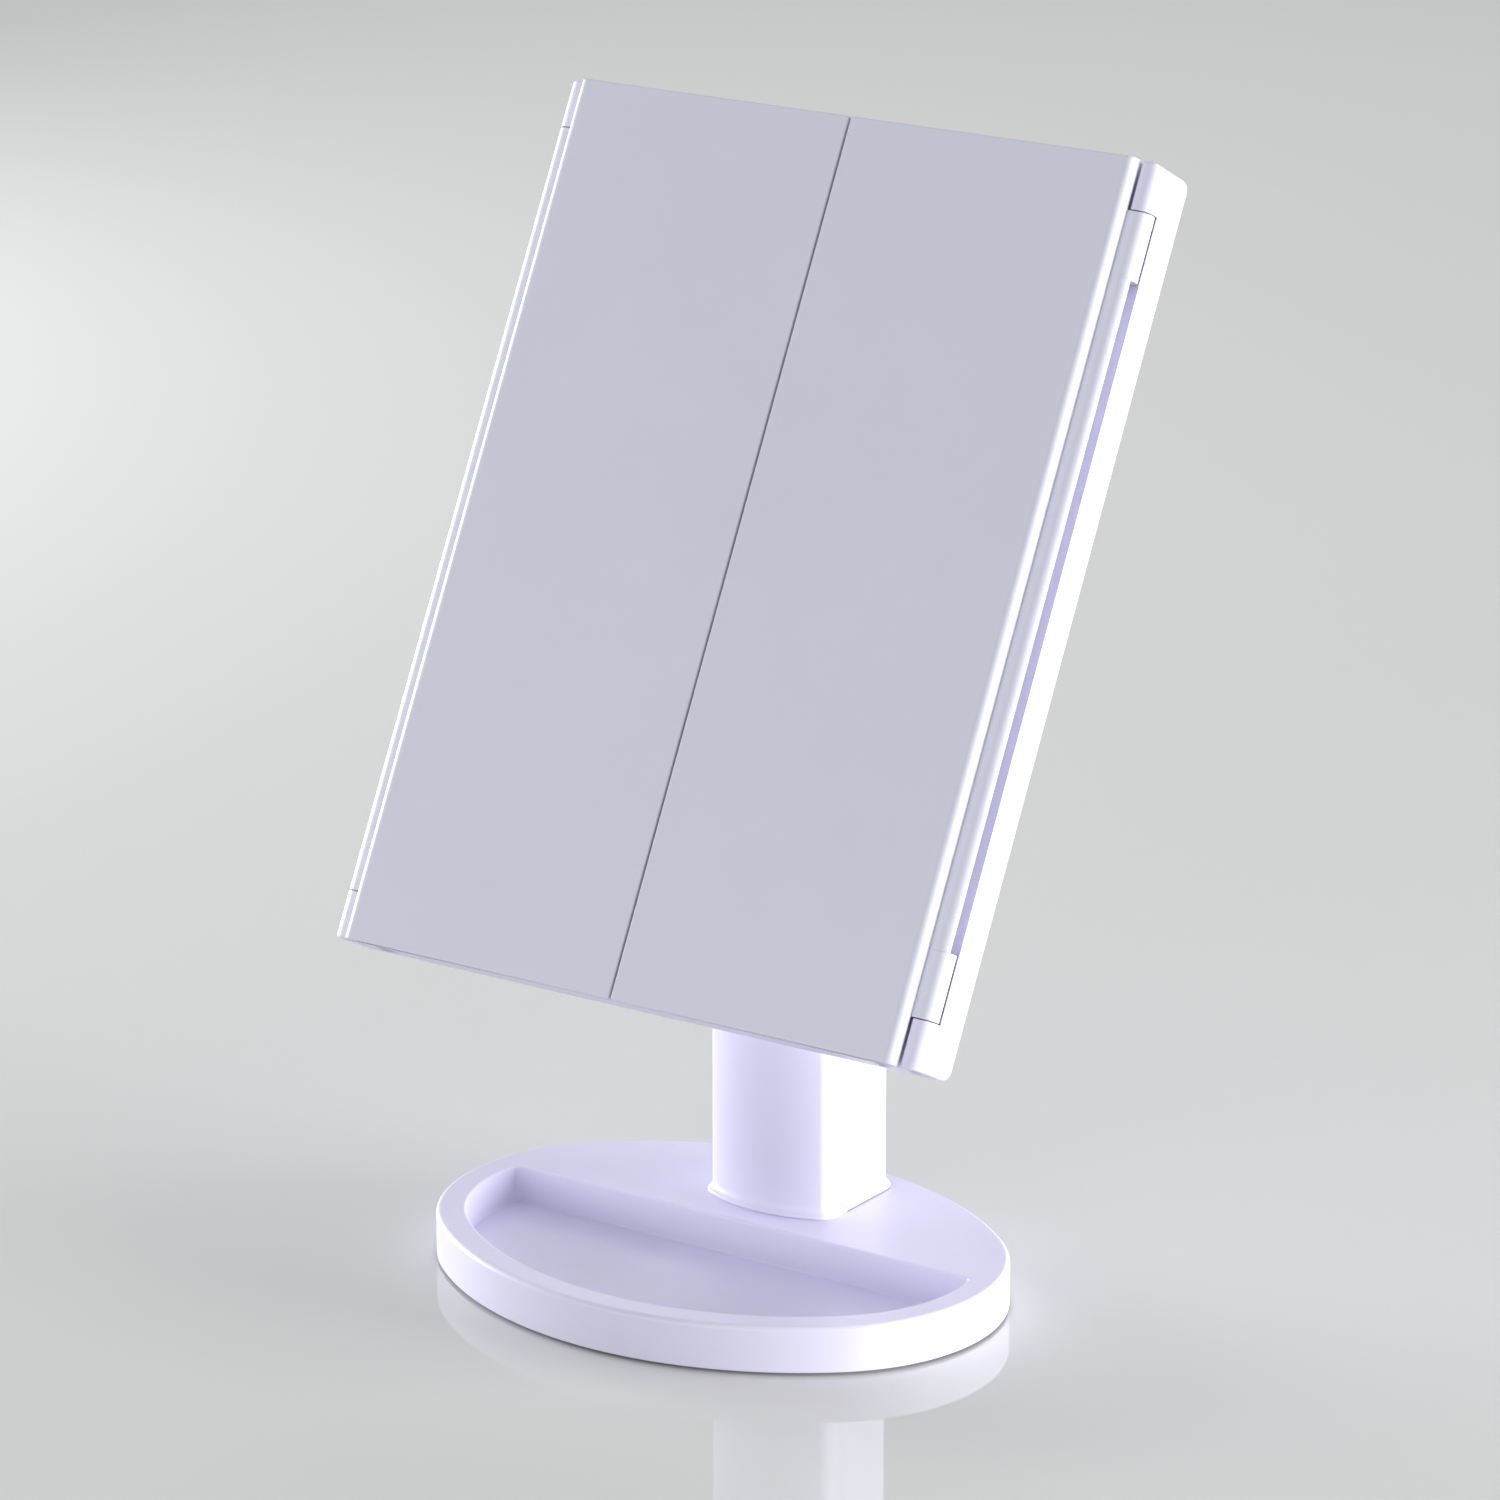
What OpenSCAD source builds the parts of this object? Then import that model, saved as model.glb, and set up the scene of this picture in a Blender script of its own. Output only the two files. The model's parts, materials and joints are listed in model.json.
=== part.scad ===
/* [Head] */
// Width of the front frame and the back shell
head_w = 178; // [165:1:215]
// Height of the front frame and the back shell
head_h = 229.6; // [205:0.1:280]
// Backward lean of the head at rest, in degrees
head_tilt = 27.5; // [10:0.5:45]
// Depth of the front frame, from its face to the parting line
frame_t = 6.2; // [5.6:0.1:8]
// Depth of the back shell, from the parting line to its back
back_t = 9.8; // [9:0.1:16]
// Wall of the back shell
back_wall = 2; // [1.6:0.1:2.6]
// Radius of the back shell's rear edges
back_edge_r = 4; // [3:0.5:5]
// Height of the frame's top and bottom rails
rail_h = 8; // [6.5:0.5:12]

/* [Doors] */
// Thickness of a door at its outer edge
door_edge_t = 3.4; // [3:0.1:4]
// Thickness of a door over its mirror
door_t = 5.4; // [5:0.1:6]
// Thickness of a door's skin
door_skin_t = 1.8; // [1.4:0.1:2.2]
// Gap between the two closed doors
seam = 0.6; // [0.4:0.1:1.2]
// Radius of a door's long outer edge
door_edge_r = 2.4; // [1.5:0.1:2.8]
// Wall around a door's mirror
door_rim = 2.2; // [1.6:0.1:3]

/* [Door hinges] */
// Radius of the hinge barrels and the frame's knuckles
barrel_r = 3.2; // [2.8:0.1:4]
// Length of each frame knuckle
knuckle_len = 12.4; // [9:0.1:16]
// Length of each full barrel
barrel_len = 17; // [12:0.5:22]
// Radius of the hinge pins
pin_r = 1; // [0.8:0.05:1.3]
// Length of each hinge pin
pin_len = 25; // [20:0.5:27]

/* [Mirrors and lights] */
// Thickness of the centre mirror
glass_t = 2; // [1.5:0.1:2.4]
// Thickness of the door mirrors
door_glass_t = 1.6; // [1.2:0.1:2]
// Lights in each side column
side_leds = 8; // [6:1:10]
// Lights in the top row
top_leds = 5; // [3:1:7]
// Radius of each frosted light window
window_r = 3.2; // [2.5:0.1:4]

/* [Tilt hinge] */
// Height of the tilt axis above the head's bottom edge, along the head
axis_up = 90.6; // [80:0.2:110]
// Distance of the tilt axis behind the back shell
axis_off = 15.7; // [14:0.1:20]
// Radius of the tilt axle
axle_r = 3; // [2.4:0.1:3.6]
// Radius of the arm's barrel
arm_r = 8; // [7:0.1:8.6]
// Width of the arm
arm_w = 17.6; // [14:0.2:18]

/* [Stem] */
// Height of the stem's shells above the base
stem_h = 130; // [115:1:160]
// Radius of the stem's convex front
stem_front_r = 36; // [28:1:60]
// Radius of the stem's front corners
stem_corner_r = 4; // [3:0.5:5]
// Wall of the stem's shells
stem_wall = 1.8; // [1.5:0.1:2.2]
// How far the collar at the stem's foot stands out
collar_out = 1.3; // [0.6:0.1:2]
// Height of the collar
collar_h = 3; // [2:0.5:5]

/* [Base] */
// Width of the base
base_w = 158; // [140:1:200]
// Depth of the base, front to back
base_d = 119; // [110:1:150]
// Height of the base
base_h = 12.2; // [11.5:0.1:16]
// Wall of the base shell
base_wall = 2.2; // [1.8:0.1:2.6]
// Radius of the base's two end arcs
base_end_r = 48; // [44:0.5:54]
// Radius of the base's top edge
base_edge_r = 1.3; // [1:0.1:2.6]
// Depth of the tray recess
tray_depth = 10; // [6:0.1:10]
// Width of the rim around the tray
tray_rim = 7.6; // [7:0.1:12]
// Radius of the tray's two rear corners
tray_corner_r = 1.6; // [1:0.1:6]
// Thickness of the anti-slip pad
pad_t = 0.8; // [0.5:0.1:1.5]
// Thickness of the bottom cover
cover_t = 2; // [1.6:0.1:2.4]
// Thickness of the steel ballast
ballast_t = 4; // [3:0.1:4.4]

/* [Power] */
// Radius of a battery cell
cell_r = 7.25; // [7:0.05:7.4]
// Length of a battery cell with its nub
cell_len = 50.5; // [49:0.5:52]
// Travel of the power switch
switch_travel = 3; // [2:0.5:4]

/* [Clearances] */
// Gap between parts that move past each other
move_gap = 0.3; // [0.25:0.05:0.5]
// Radial gap of a pin or axle in its bore
pin_gap = 0.05; // [0.02:0.01:0.1]
// Gap between the closed doors and the frame
door_gap = 0.6; // [0.4:0.1:1]

/* [Hidden] */
$fn = 48;
eps = 0.01;

// Head: X across, Y back from the doors' front, Z up along the head
half_w = head_w / 2;
hinge_x = half_w - barrel_r;
hinge_y = door_edge_t + barrel_r;
frame_y = door_t + door_gap;
parting_y = frame_y + frame_t;
back_y = parting_y + back_t;
pocket_r = barrel_r + 2 * move_gap;
door_edge_x = half_w - barrel_r - 0.75 * barrel_r;
rim_edge_x = door_edge_x - door_edge_t;
leaf_low = knuckle_len + move_gap;
leaf_high = head_h - knuckle_len - move_gap;
door_glass_y = door_t - 0.2 - door_glass_t;
door_mirror_x0 = seam / 2 + door_rim;
door_mirror_x1 = rim_edge_x - door_rim;
door_mirror_low = door_rim;
door_mirror_high = head_h - door_rim;
side_rail = 2 * pocket_r + 5.4;
glass_half_w = half_w - side_rail;
ledge = 3;
glass_gap = 0.2;
glass_y = frame_y + glass_gap;
led_t = 1.1;
board_t = 1.2;
plate_t = 1.6;
plate_half_w = glass_half_w + 1;
plate_margin = rail_h - 2;
led_board_y = parting_y - board_t;
led_y = led_board_y - led_t;
window_t = led_y - glass_y - glass_t - 0.3;
led_x = glass_half_w - ledge - 6;
led_low = rail_h + 22;
led_high = head_h - rail_h - 22;
led_top_z = head_h - rail_h - 9;
led_top_pitch = 2 * (led_x - 23) / (top_leds - 1);
led_side_pitch = (led_high - led_low) / (side_leds - 1);
led_board_w = 7;
head_screw_x = half_w - side_rail + 2.4;
head_screw_z = [20, head_h / 2, head_h - 20];
board_z = axis_up + 34;
board_w = 46;
board_h = 30;
standoff_h = 1.5;
board_y = parting_y + plate_t + standoff_h;
screw_r = 1.2;
screw_head_r = 2.5;
screw_head_t = 1.8;

// Stem: sized from the four cells that stand inside it
cell_gap = 0.1;
holder_wall = 1.2;
holder_gap = 0.4;
door_panel_t = 1.8;
stem_rear_r = 3.5;
stem_w = 4 * cell_r + 2 * (cell_gap + holder_gap + holder_wall + 0.5 + stem_wall);
cell_x = cell_r + cell_gap;
cell_front_gap = 0.18;
cell_reach = stem_front_r - stem_wall - cell_front_gap - cell_r;
cell_depth = stem_front_r - sqrt(cell_reach * cell_reach - cell_x * cell_x);
stem_d = cell_depth + 3 * cell_r + cell_gap + 0.3 + door_panel_t;
stem_margin = 8.3;
stem_y1 = base_d / 2 - stem_margin;
stem_y0 = stem_y1 - stem_d;
stem_split_y = stem_y0 + 12;
cell_y0 = stem_y0 + cell_depth;
cell_y1 = cell_y0 + 2 * cell_r + cell_gap;
stem_corner_reach = stem_front_r - stem_corner_r;
stem_corner_x = stem_w / 2 - stem_corner_r;
stem_corner_y = stem_y0 + stem_front_r
    - sqrt(stem_corner_reach * stem_corner_reach - stem_corner_x * stem_corner_x);

// Base: origin at its centre, on the surface it stands on
base_z = pad_t;
base_top = pad_t + base_h;
tray_floor = base_top - tray_depth;
tray_y = stem_y0 - 8.7;
cavity_y = tray_y + base_wall;
cavity_top = base_top - base_wall;
cover_top = base_z + cover_t;
pad_inset = 15;
oval_cx = base_w / 2 - base_end_r;
oval_flat = base_d / 2 - base_end_r;
oval_cy = (oval_cx * oval_cx - oval_flat * oval_flat) / (2 * oval_flat);
side_arc_r = base_d / 2 + oval_cy;
end_angle = atan2(oval_cy, oval_cx);
cover_screw_at = [[base_w * 0.28, cavity_y + 12], [base_w * 0.19, base_d / 2 - 15]];
boss_r = 3;
board_post_x = 6;
board_post_y = base_d / 2 - 12;
board_post_h = 1.6;
usb_board_t = 1.2;
usb_z = cover_top + board_post_h + usb_board_t;
usb_w = 8;
usb_h = 3;
usb_wall = 0.5;
usb_gap = 0.4;
usb_back_y = base_d / 2 - 0.8;
stem_boss_r = 3.6;
stem_boss_x = stem_w / 2 - stem_wall - stem_boss_r + 0.2;
stem_boss_y = [stem_split_y - stem_boss_r - 0.3, stem_y1 - stem_wall - stem_boss_r - 1.6];
stem_boss_h = 5;

// Stem interior, from the bottom up
stem_top = base_top + stem_h;
holder_z = base_top + stem_boss_h + 1.5;
holder_plate = 1.5;
contact_t = 0.4;
spring_h = 3;
cell_z = holder_z + holder_plate + contact_t + spring_h;
holder_top = cell_z + cell_len + contact_t + holder_plate;
bay_z0 = holder_z - 0.5;
bay_z1 = holder_top + 0.5;
bay_half_w = 2 * cell_r + cell_gap + 0.3;
switch_z = bay_z1 + 18;
switch_half = switch_travel + 2;
switch_d = 6;
wire_w = 2.4;
wire_t = 1.5;
yoke_plug = 14;
yoke_screw_x = 9;

// Tilt hinge: the bracket's screws pass in front of the stem when the head is upright
bracket_t = 3;
bracket_w = 44;
bracket_h = 38;
bracket_screw_x = 17;
bracket_screw_dz = 14.5;
tilt_y = stem_y0 + axis_off - bracket_t - screw_head_t - 0.9;
tilt_z = stem_top + arm_r + 1.8;
ear_r = arm_r + 1.5;
ear_gap = arm_w / 2 + move_gap + 1;
washer_t = 1;
ear_bore_depth = 4.2;
cap_t = 1.2;
cap_r = 6;

function arc(cx, cy, r, a0, a1, n) =
    [for (i = [0:n]) let (a = a0 + (a1 - a0) * i / n) [cx + r * cos(a), cy + r * sin(a)]];
// Outline of the oval as four tangent arcs, moved inwards by inset
function oval_points(inset) =
    let (
        r = base_end_r - inset,
        side_r = side_arc_r - inset,
        a = end_angle,
        b = 180 - 2 * end_angle,
        n = 20
    )
    concat(
        [for (i = [0:n - 1]) let (t = -a + 2 * a * i / n) [oval_cx + r * cos(t), r * sin(t)]],
        [for (i = [0:n - 1]) let (t = a + b * i / n) [side_r * cos(t), side_r * sin(t) - oval_cy]],
        [for (i = [0:n - 1]) let (t = 180 - a + 2 * a * i / n) [r * cos(t) - oval_cx, r * sin(t)]],
        [for (i = [0:n - 1]) let (t = 180 + a + b * i / n) [side_r * cos(t), side_r * sin(t) + oval_cy]]
    );

// D-shaped outline of the tray, moved outwards by grow, with rounded rear corners
function tray_points(grow) =
    let (
        y = tray_y + grow,
        end_r = base_end_r - tray_rim + grow,
        side_r = side_arc_r - tray_rim + grow,
        rc = tray_corner_r + grow,
        corner_y = y - rc,
        turn = asin(corner_y / (end_r - rc)),
        corner_x = oval_cx + (end_r - rc) * cos(turn),
        a = end_angle,
        b = 180 - 2 * end_angle,
        n = 20
    )
    concat(
        arc(-corner_x, corner_y, rc, 90, 180 - turn, 5),
        [for (i = [1:n - 1]) let (t = 180 - turn + (a + turn) * i / n)
            [end_r * cos(t) - oval_cx, end_r * sin(t)]],
        [for (i = [0:n]) let (t = 180 + a + b * i / n) [side_r * cos(t), side_r * sin(t) + oval_cy]],
        [for (i = [1:n - 1]) let (t = -a + (a + turn) * i / n)
            [end_r * cos(t) + oval_cx, end_r * sin(t)]],
        arc(corner_x, corner_y, rc, turn, 90, 5)
    );

// Outline of the stem, moved inwards by t: convex front, flat sides and back, rounded corners
function stem_points(t) =
    let (
        hw = stem_w / 2 - t,
        r = stem_front_r - t,
        rc = max(stem_corner_r - t, 0.4),
        rb = max(stem_rear_r - t, 0.4),
        yc = stem_y0 + stem_front_r,
        cy = yc - sqrt((r - rc) * (r - rc) - (hw - rc) * (hw - rc)),
        a = atan2(cy - yc, hw - rc),
        yb = stem_y1 - t - rb
    )
    concat(
        arc(0, yc, r, -180 - a, a, 16),
        arc(hw - rc, cy, rc, a * 0.8, 0, 4),
        arc(hw - rb, yb, rb, 0, 90, 5),
        arc(rb - hw, yb, rb, 90, 180, 5),
        arc(rc - hw, cy, rc, 180, 180 - a * 0.8, 4)
    );

// Oval block with a rounded top edge
module oval_block(h, edge) {
    steps = 4;
    thin = 0.05;
    hull() {
        linear_extrude(h - edge)
            polygon(oval_points(0));
        for (i = [1:steps])
            let (a = 90 * i / steps)
                translate([0, 0, h - edge + edge * sin(a) - thin])
                    linear_extrude(thin)
                        polygon(oval_points(edge * (1 - cos(a))));
    }
}

// Half-planes behind and in front of a line across the base
module behind(y) {
    translate([-base_w, y])
        square([2 * base_w, base_d]);
}

module before(y) {
    translate([-base_w, y - base_d])
        square([2 * base_w, base_d]);
}

// Places head geometry on the tilt axis, leaning back
module on_head() {
    translate([0, tilt_y, tilt_z])
        rotate([-head_tilt, 0, 0])
            translate([0, -back_y - axis_off, -axis_up])
                children();
}

module both_sides() {
    for (side = [0, 1])
        mirror([side, 0, 0])
            children();
}

// A screw whose head's outer face is at the origin, with the shank along -Z
module screw(length) {
    difference() {
        translate([0, 0, -screw_head_t])
            cylinder(r = screw_head_r, h = screw_head_t);
        translate([-0.4, -1.6, -0.8])
            cube([0.8, 3.2, 1]);
        translate([-1.6, -0.4, -0.8])
            cube([3.2, 0.8, 1]);
    }
    translate([0, 0, -length])
        cylinder(r = screw_r, h = length - screw_head_t + eps);
}

// ---------------------------------------------------------------- base

module base_shell() {
    hollow = cavity_top - base_z;
    color("white")
        difference() {
            union() {
                difference() {
                    translate([0, 0, base_z])
                        oval_block(base_h, base_edge_r);
                    translate([0, 0, tray_floor])
                        linear_extrude(tray_depth + 1)
                            polygon(tray_points(0));
                    translate([0, 0, base_z - 1])
                        linear_extrude(hollow + 1)
                            intersection() {
                                polygon(oval_points(base_wall));
                                behind(cavity_y);
                            }
                    translate([0, 0, base_z - 1])
                        linear_extrude(hollow + 1)
                            difference() {
                                intersection() {
                                    polygon(oval_points(base_wall));
                                    before(cavity_y - base_wall);
                                }
                                polygon(tray_points(base_wall));
                            }
                }
                both_sides()
                    for (at = cover_screw_at)
                        translate([at.x, at.y, cover_top])
                            cylinder(r = boss_r, h = cavity_top - cover_top + 1);
            }
            both_sides()
                for (at = cover_screw_at)
                    translate([at.x, at.y, cover_top - 1])
                        cylinder(r = screw_r, h = cavity_top - cover_top);
            both_sides()
                for (y = stem_boss_y)
                    translate([stem_boss_x, y, cavity_top - 1])
                        cylinder(r = screw_r + 0.2, h = base_wall + 3);
            translate([0, (stem_y0 + stem_y1) / 2, cavity_top - 1])
                cylinder(r = 5, h = base_wall + 3);
            translate([-usb_w / 2 - usb_gap, base_d / 2 - 6, usb_z - usb_gap])
                cube([usb_w + 2 * usb_gap, 10, usb_h + 2 * usb_gap]);
        }
}

// Plate that fills the oval behind a straight front edge
module rear_plate(inset, y, h) {
    linear_extrude(h)
        intersection() {
            polygon(oval_points(inset));
            behind(y);
        }
}

module bottom_cover() {
    color("white")
        difference() {
            union() {
                translate([0, 0, base_z])
                    rear_plate(base_wall + 0.2, cavity_y + 0.2, cover_t);
                both_sides()
                    translate([board_post_x, board_post_y, cover_top - eps])
                        cylinder(r = 1.6, h = board_post_h);
            }
            both_sides()
                for (at = cover_screw_at) {
                    translate([at.x, at.y, base_z - 1])
                        cylinder(r = screw_r + 0.2, h = cover_t + 2);
                    translate([at.x, at.y, base_z - 1])
                        cylinder(r = screw_head_r + 0.2, h = 1.8);
                }
            both_sides()
                translate([board_post_x, board_post_y, cover_top - 0.6])
                    cylinder(r = 0.7, h = 4);
        }
}

module anti_slip_pad() {
    color("dimgray")
        linear_extrude(pad_t)
            polygon(oval_points(pad_inset));
}

module ballast_plate() {
    color("gray")
        translate([0, 0, cover_top])
            difference() {
                rear_plate(base_wall + 2, cavity_y + 2, ballast_t);
                both_sides()
                    for (at = cover_screw_at)
                        translate([at.x, at.y, -1])
                            cylinder(r = boss_r + 0.4, h = ballast_t + 2);
                translate([-12, base_d / 2 - 24, -1])
                    cube([24, 40, ballast_t + 2]);
            }
}

module cover_screws() {
    color("silver")
        both_sides()
            for (at = cover_screw_at)
                translate([at.x, at.y, base_z + 0.1])
                    mirror([0, 0, 1])
                        screw_flat(7);
}

// A flat-headed screw with a thin head that lies under the pad
module screw_flat(length) {
    translate([0, 0, -0.7])
        cylinder(r = screw_head_r, h = 0.7);
    translate([0, 0, -length])
        cylinder(r = screw_r, h = length - 0.6);
}

module usb_board() {
    color("green")
        difference() {
            translate([-9, base_d / 2 - 17, usb_z - usb_board_t])
                cube([18, 13.8, usb_board_t]);
            both_sides()
                translate([board_post_x, board_post_y, cover_top])
                    cylinder(r = 0.9, h = 4);
        }
}

module usb_socket() {
    color("silver")
        difference() {
            translate([-usb_w / 2, usb_back_y - 6.6, usb_z])
                cube([usb_w, 6.6, usb_h]);
            translate([-usb_w / 2 + usb_wall, usb_back_y - 5.6, usb_z + usb_wall])
                cube([usb_w - 2 * usb_wall, 7, usb_h - 2 * usb_wall]);
        }
}

module board_screws() {
    color("silver")
        both_sides()
            translate([board_post_x, board_post_y, usb_z])
                union() {
                    cylinder(r = 1.5, h = 0.7);
                    translate([0, 0, -2.5])
                        cylinder(r = 0.7, h = 2.6);
                }
}

module stem_screws() {
    color("silver")
        both_sides()
            for (y = stem_boss_y)
                translate([stem_boss_x, y, cavity_top - screw_head_t])
                    mirror([0, 0, 1])
                        screw(screw_head_t + base_wall + stem_boss_h - 1.2);
}

// ---------------------------------------------------------------- stem

module stem_tube() {
    difference() {
        union() {
            translate([0, 0, base_top])
                linear_extrude(stem_h)
                    polygon(stem_points(0));
            hull() {
                translate([0, 0, base_top])
                    linear_extrude(collar_h / 4)
                        polygon(stem_points(-collar_out));
                translate([0, 0, base_top])
                    linear_extrude(collar_h)
                        polygon(stem_points(0));
            }
        }
        translate([0, 0, base_top - 1])
            linear_extrude(stem_h + 2)
                polygon(stem_points(stem_wall));
    }
}

module stem_half(front) {
    depth = 60;
    y = front ? stem_split_y - depth : stem_split_y;
    intersection() {
        children();
        translate([-50, y, 0])
            cube([100, depth, stem_top + 50]);
    }
}

module stem_foot_boss(y) {
    both_sides()
        translate([stem_boss_x, y, base_top])
            difference() {
                cylinder(r = stem_boss_r, h = stem_boss_h);
                translate([0, 0, -1])
                    cylinder(r = screw_r, h = stem_boss_h);
            }
}

// Pillars that join the two stem shells above the cells
join_z = [holder_top + 8, stem_top - yoke_plug - 6];

module join_at(z, y, turn) {
    both_sides()
        translate([stem_w / 2 - stem_wall - 2.6, y, z])
            rotate([turn, 0, 0])
                children();
}

module stem_front() {
    color("white")
        difference() {
            union() {
                stem_half(true)
                    stem_tube();
                stem_foot_boss(stem_boss_y[0]);
                for (z = join_z)
                    join_at(z, stem_split_y, 90)
                        cylinder(r = 2.8, h = 5);
            }
            for (z = join_z)
                join_at(z, stem_split_y + 1, 90)
                    cylinder(r = screw_r, h = 5);
        }
}

module stem_back() {
    color("white")
        difference() {
            union() {
                stem_half(false)
                    stem_tube();
                stem_foot_boss(stem_boss_y[1]);
                for (z = join_z)
                    join_at(z, stem_split_y, -90)
                        cylinder(r = 2.8, h = stem_y1 - stem_wall - stem_split_y + eps);
            }
            for (z = join_z) {
                join_at(z, stem_split_y - 1, -90)
                    cylinder(r = screw_r + 0.2, h = 60);
                join_at(z, stem_split_y + 6, -90)
                    cylinder(r = screw_head_r + 0.2, h = 60);
            }
            translate([-bay_half_w, stem_y1 - 3, bay_z0])
                cube([2 * bay_half_w, 10, bay_z1 - bay_z0]);
            translate([-2.4, stem_y1 - 4, switch_z - switch_half])
                cube([4.8, 10, 2 * switch_half]);
            for (x = [-yoke_screw_x, yoke_screw_x])
                translate([x, stem_y1 - 6, stem_top - yoke_plug / 2])
                    rotate([-90, 0, 0])
                        cylinder(r = screw_r + 0.2, h = 10);
        }
}

module stem_joint_screws() {
    color("silver")
        for (z = join_z)
            join_at(z, stem_split_y + 6 + screw_head_t, -90)
                screw(screw_head_t + 9);
}

module cell_holder() {
    w = 2 * (2 * cell_r + cell_gap + holder_gap);
    y0 = stem_corner_y - 0.5;
    y1 = stem_y1 - door_panel_t - 1.1;
    color("dimgray")
        difference() {
            translate([-w / 2 - holder_wall, y0, holder_z])
                cube([w + 2 * holder_wall, y1 - y0, holder_top - holder_z]);
            translate([-w / 2, y0 - 1, holder_z + holder_plate])
                cube([w, y1 - y0 + 2, holder_top - holder_z - 2 * holder_plate]);
        }
}

module at_cells() {
    for (x = [-cell_x, cell_x])
        for (y = [cell_y0, cell_y1])
            translate([x, y, 0])
                children();
}

module cells() {
    nub = 1.2;
    color("goldenrod")
        at_cells()
            translate([0, 0, cell_z])
                union() {
                    cylinder(r = cell_r, h = cell_len - nub);
                    translate([0, 0, cell_len - nub - eps])
                        cylinder(r = 2.7, h = nub + eps);
                }
}

module cell_springs() {
    wire = 0.5;
    coils = spring_h / (2 * wire);
    color("silver")
        at_cells()
            for (i = [0:coils - 1])
                translate([0, 0, cell_z - spring_h + wire * (2 * i + 1)])
                    rotate_extrude()
                        translate([4.4 - 0.4 * i, 0])
                            circle(r = wire, $fn = 16);
}

module cell_contacts() {
    w = 4 * cell_r - 4;
    color("silver")
        for (z = [cell_z - spring_h - contact_t, cell_z + cell_len])
            for (y = [cell_y0, cell_y1])
                translate([-w / 2, y - 4.9, z])
                    cube([w, 9.8, contact_t]);
}

module battery_door() {
    hw = bay_half_w - move_gap;
    z0 = bay_z0 + move_gap;
    z1 = bay_z1 - move_gap;
    color("white")
        difference() {
            intersection() {
                translate([-hw, stem_y1 - door_panel_t, z0])
                    cube([2 * hw, door_panel_t, z1 - z0]);
                translate([0, 0, base_top])
                    linear_extrude(stem_h)
                        polygon(stem_points(0));
            }
            for (i = [0:2])
                translate([-6, stem_y1 - 0.5, z1 - 9 + 2.4 * i])
                    cube([12, 2, 1]);
        }
}

module switch_body() {
    color("black")
        difference() {
            translate([-5, stem_y1 - stem_wall - switch_d, switch_z - switch_half - 3])
                cube([10, switch_d, 2 * switch_half + 6]);
            translate([-1.8, stem_y1 - stem_wall - 4, switch_z - switch_half])
                cube([3.6, 10, 2 * switch_half]);
        }
}

module switch_knob() {
    low = switch_z - switch_half + move_gap;
    tall = 2 * switch_half - switch_travel - 2 * move_gap;
    color("gray")
        difference() {
            union() {
                translate([-1.5, stem_y1 - stem_wall - 3.6, low])
                    cube([3, 4, tall]);
                translate([-2.1, stem_y1 - stem_wall + 0.4, low])
                    cube([4.2, 3, tall]);
            }
            for (i = [-1:1])
                translate([-3, stem_y1 + 1.3, low + tall / 2 + 1.4 * i - 0.3])
                    cube([6, 1, 0.6]);
        }
}

module stem_harness() {
    y = stem_split_y + 9;
    low = holder_top + 3;
    color("black")
        union() {
            translate([-wire_w / 2, y, low])
                cube([wire_w, wire_t, stem_top - yoke_plug - 2 - low]);
            translate([-wire_w / 2, y, switch_z - wire_w / 2])
                cube([wire_w, stem_y1 - stem_wall - switch_d - y, wire_w]);
        }
}

// ---------------------------------------------------------------- tilt hinge

module on_axle() {
    translate([0, tilt_y, tilt_z])
        rotate([0, 90, 0])
            children();
}

module hinge_yoke() {
    color("white")
        difference() {
            union() {
                intersection() {
                    translate([0, 0, stem_top])
                        linear_extrude(40)
                            polygon(stem_points(0));
                    union() {
                        translate([-50, tilt_y, tilt_z])
                            rotate([0, 90, 0])
                                cylinder(r = ear_r, h = 100);
                        translate([-50, 0, 0])
                            rotate([90, 0, 90])
                                linear_extrude(100)
                                    polygon([
                                        [stem_y0 - 1, stem_top - 1],
                                        [stem_y0 - 1, stem_top + 4],
                                        [tilt_y - ear_r, tilt_z],
                                        [tilt_y + ear_r * cos(60), tilt_z + ear_r * sin(60)],
                                        [stem_y1 - 6, stem_top + 5],
                                        [stem_y1 + 1, stem_top + 3],
                                        [stem_y1 + 1, stem_top - 1]
                                    ]);
                    }
                }
                translate([0, 0, stem_top - yoke_plug])
                    linear_extrude(yoke_plug + 0.5)
                        polygon(stem_points(stem_wall + 0.2));
            }
            translate([-ear_gap, stem_y0 - 5, tilt_z - arm_r - 0.8])
                cube([2 * ear_gap, stem_d + 10, 60]);
            on_axle()
                cylinder(r = axle_r + pin_gap, h = 100, center = true);
            both_sides()
                on_axle()
                    translate([0, 0, stem_w / 2 - ear_bore_depth])
                        cylinder(r = cap_r, h = 20);
            for (x = [-yoke_screw_x, yoke_screw_x])
                translate([x, stem_y1 - stem_wall - 8, stem_top - yoke_plug / 2])
                    rotate([-90, 0, 0])
                        cylinder(r = screw_r, h = 12);
            translate([0, stem_split_y + 9.8, stem_top - yoke_plug - 1])
                cylinder(r = 2.2, h = yoke_plug + 12);
            translate([0, 0, stem_top - yoke_plug - 1])
                linear_extrude(yoke_plug - 2)
                    difference() {
                        polygon(stem_points(stem_wall + 2.4));
                        translate([-50, stem_y1 - stem_wall - 9])
                            square([100, 20]);
                    }
        }
}

module yoke_screws() {
    color("silver")
        for (x = [-yoke_screw_x, yoke_screw_x])
            translate([x, stem_y1 + screw_head_t, stem_top - yoke_plug / 2])
                rotate([-90, 0, 0])
                    screw(screw_head_t + stem_wall + 7);
}

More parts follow.
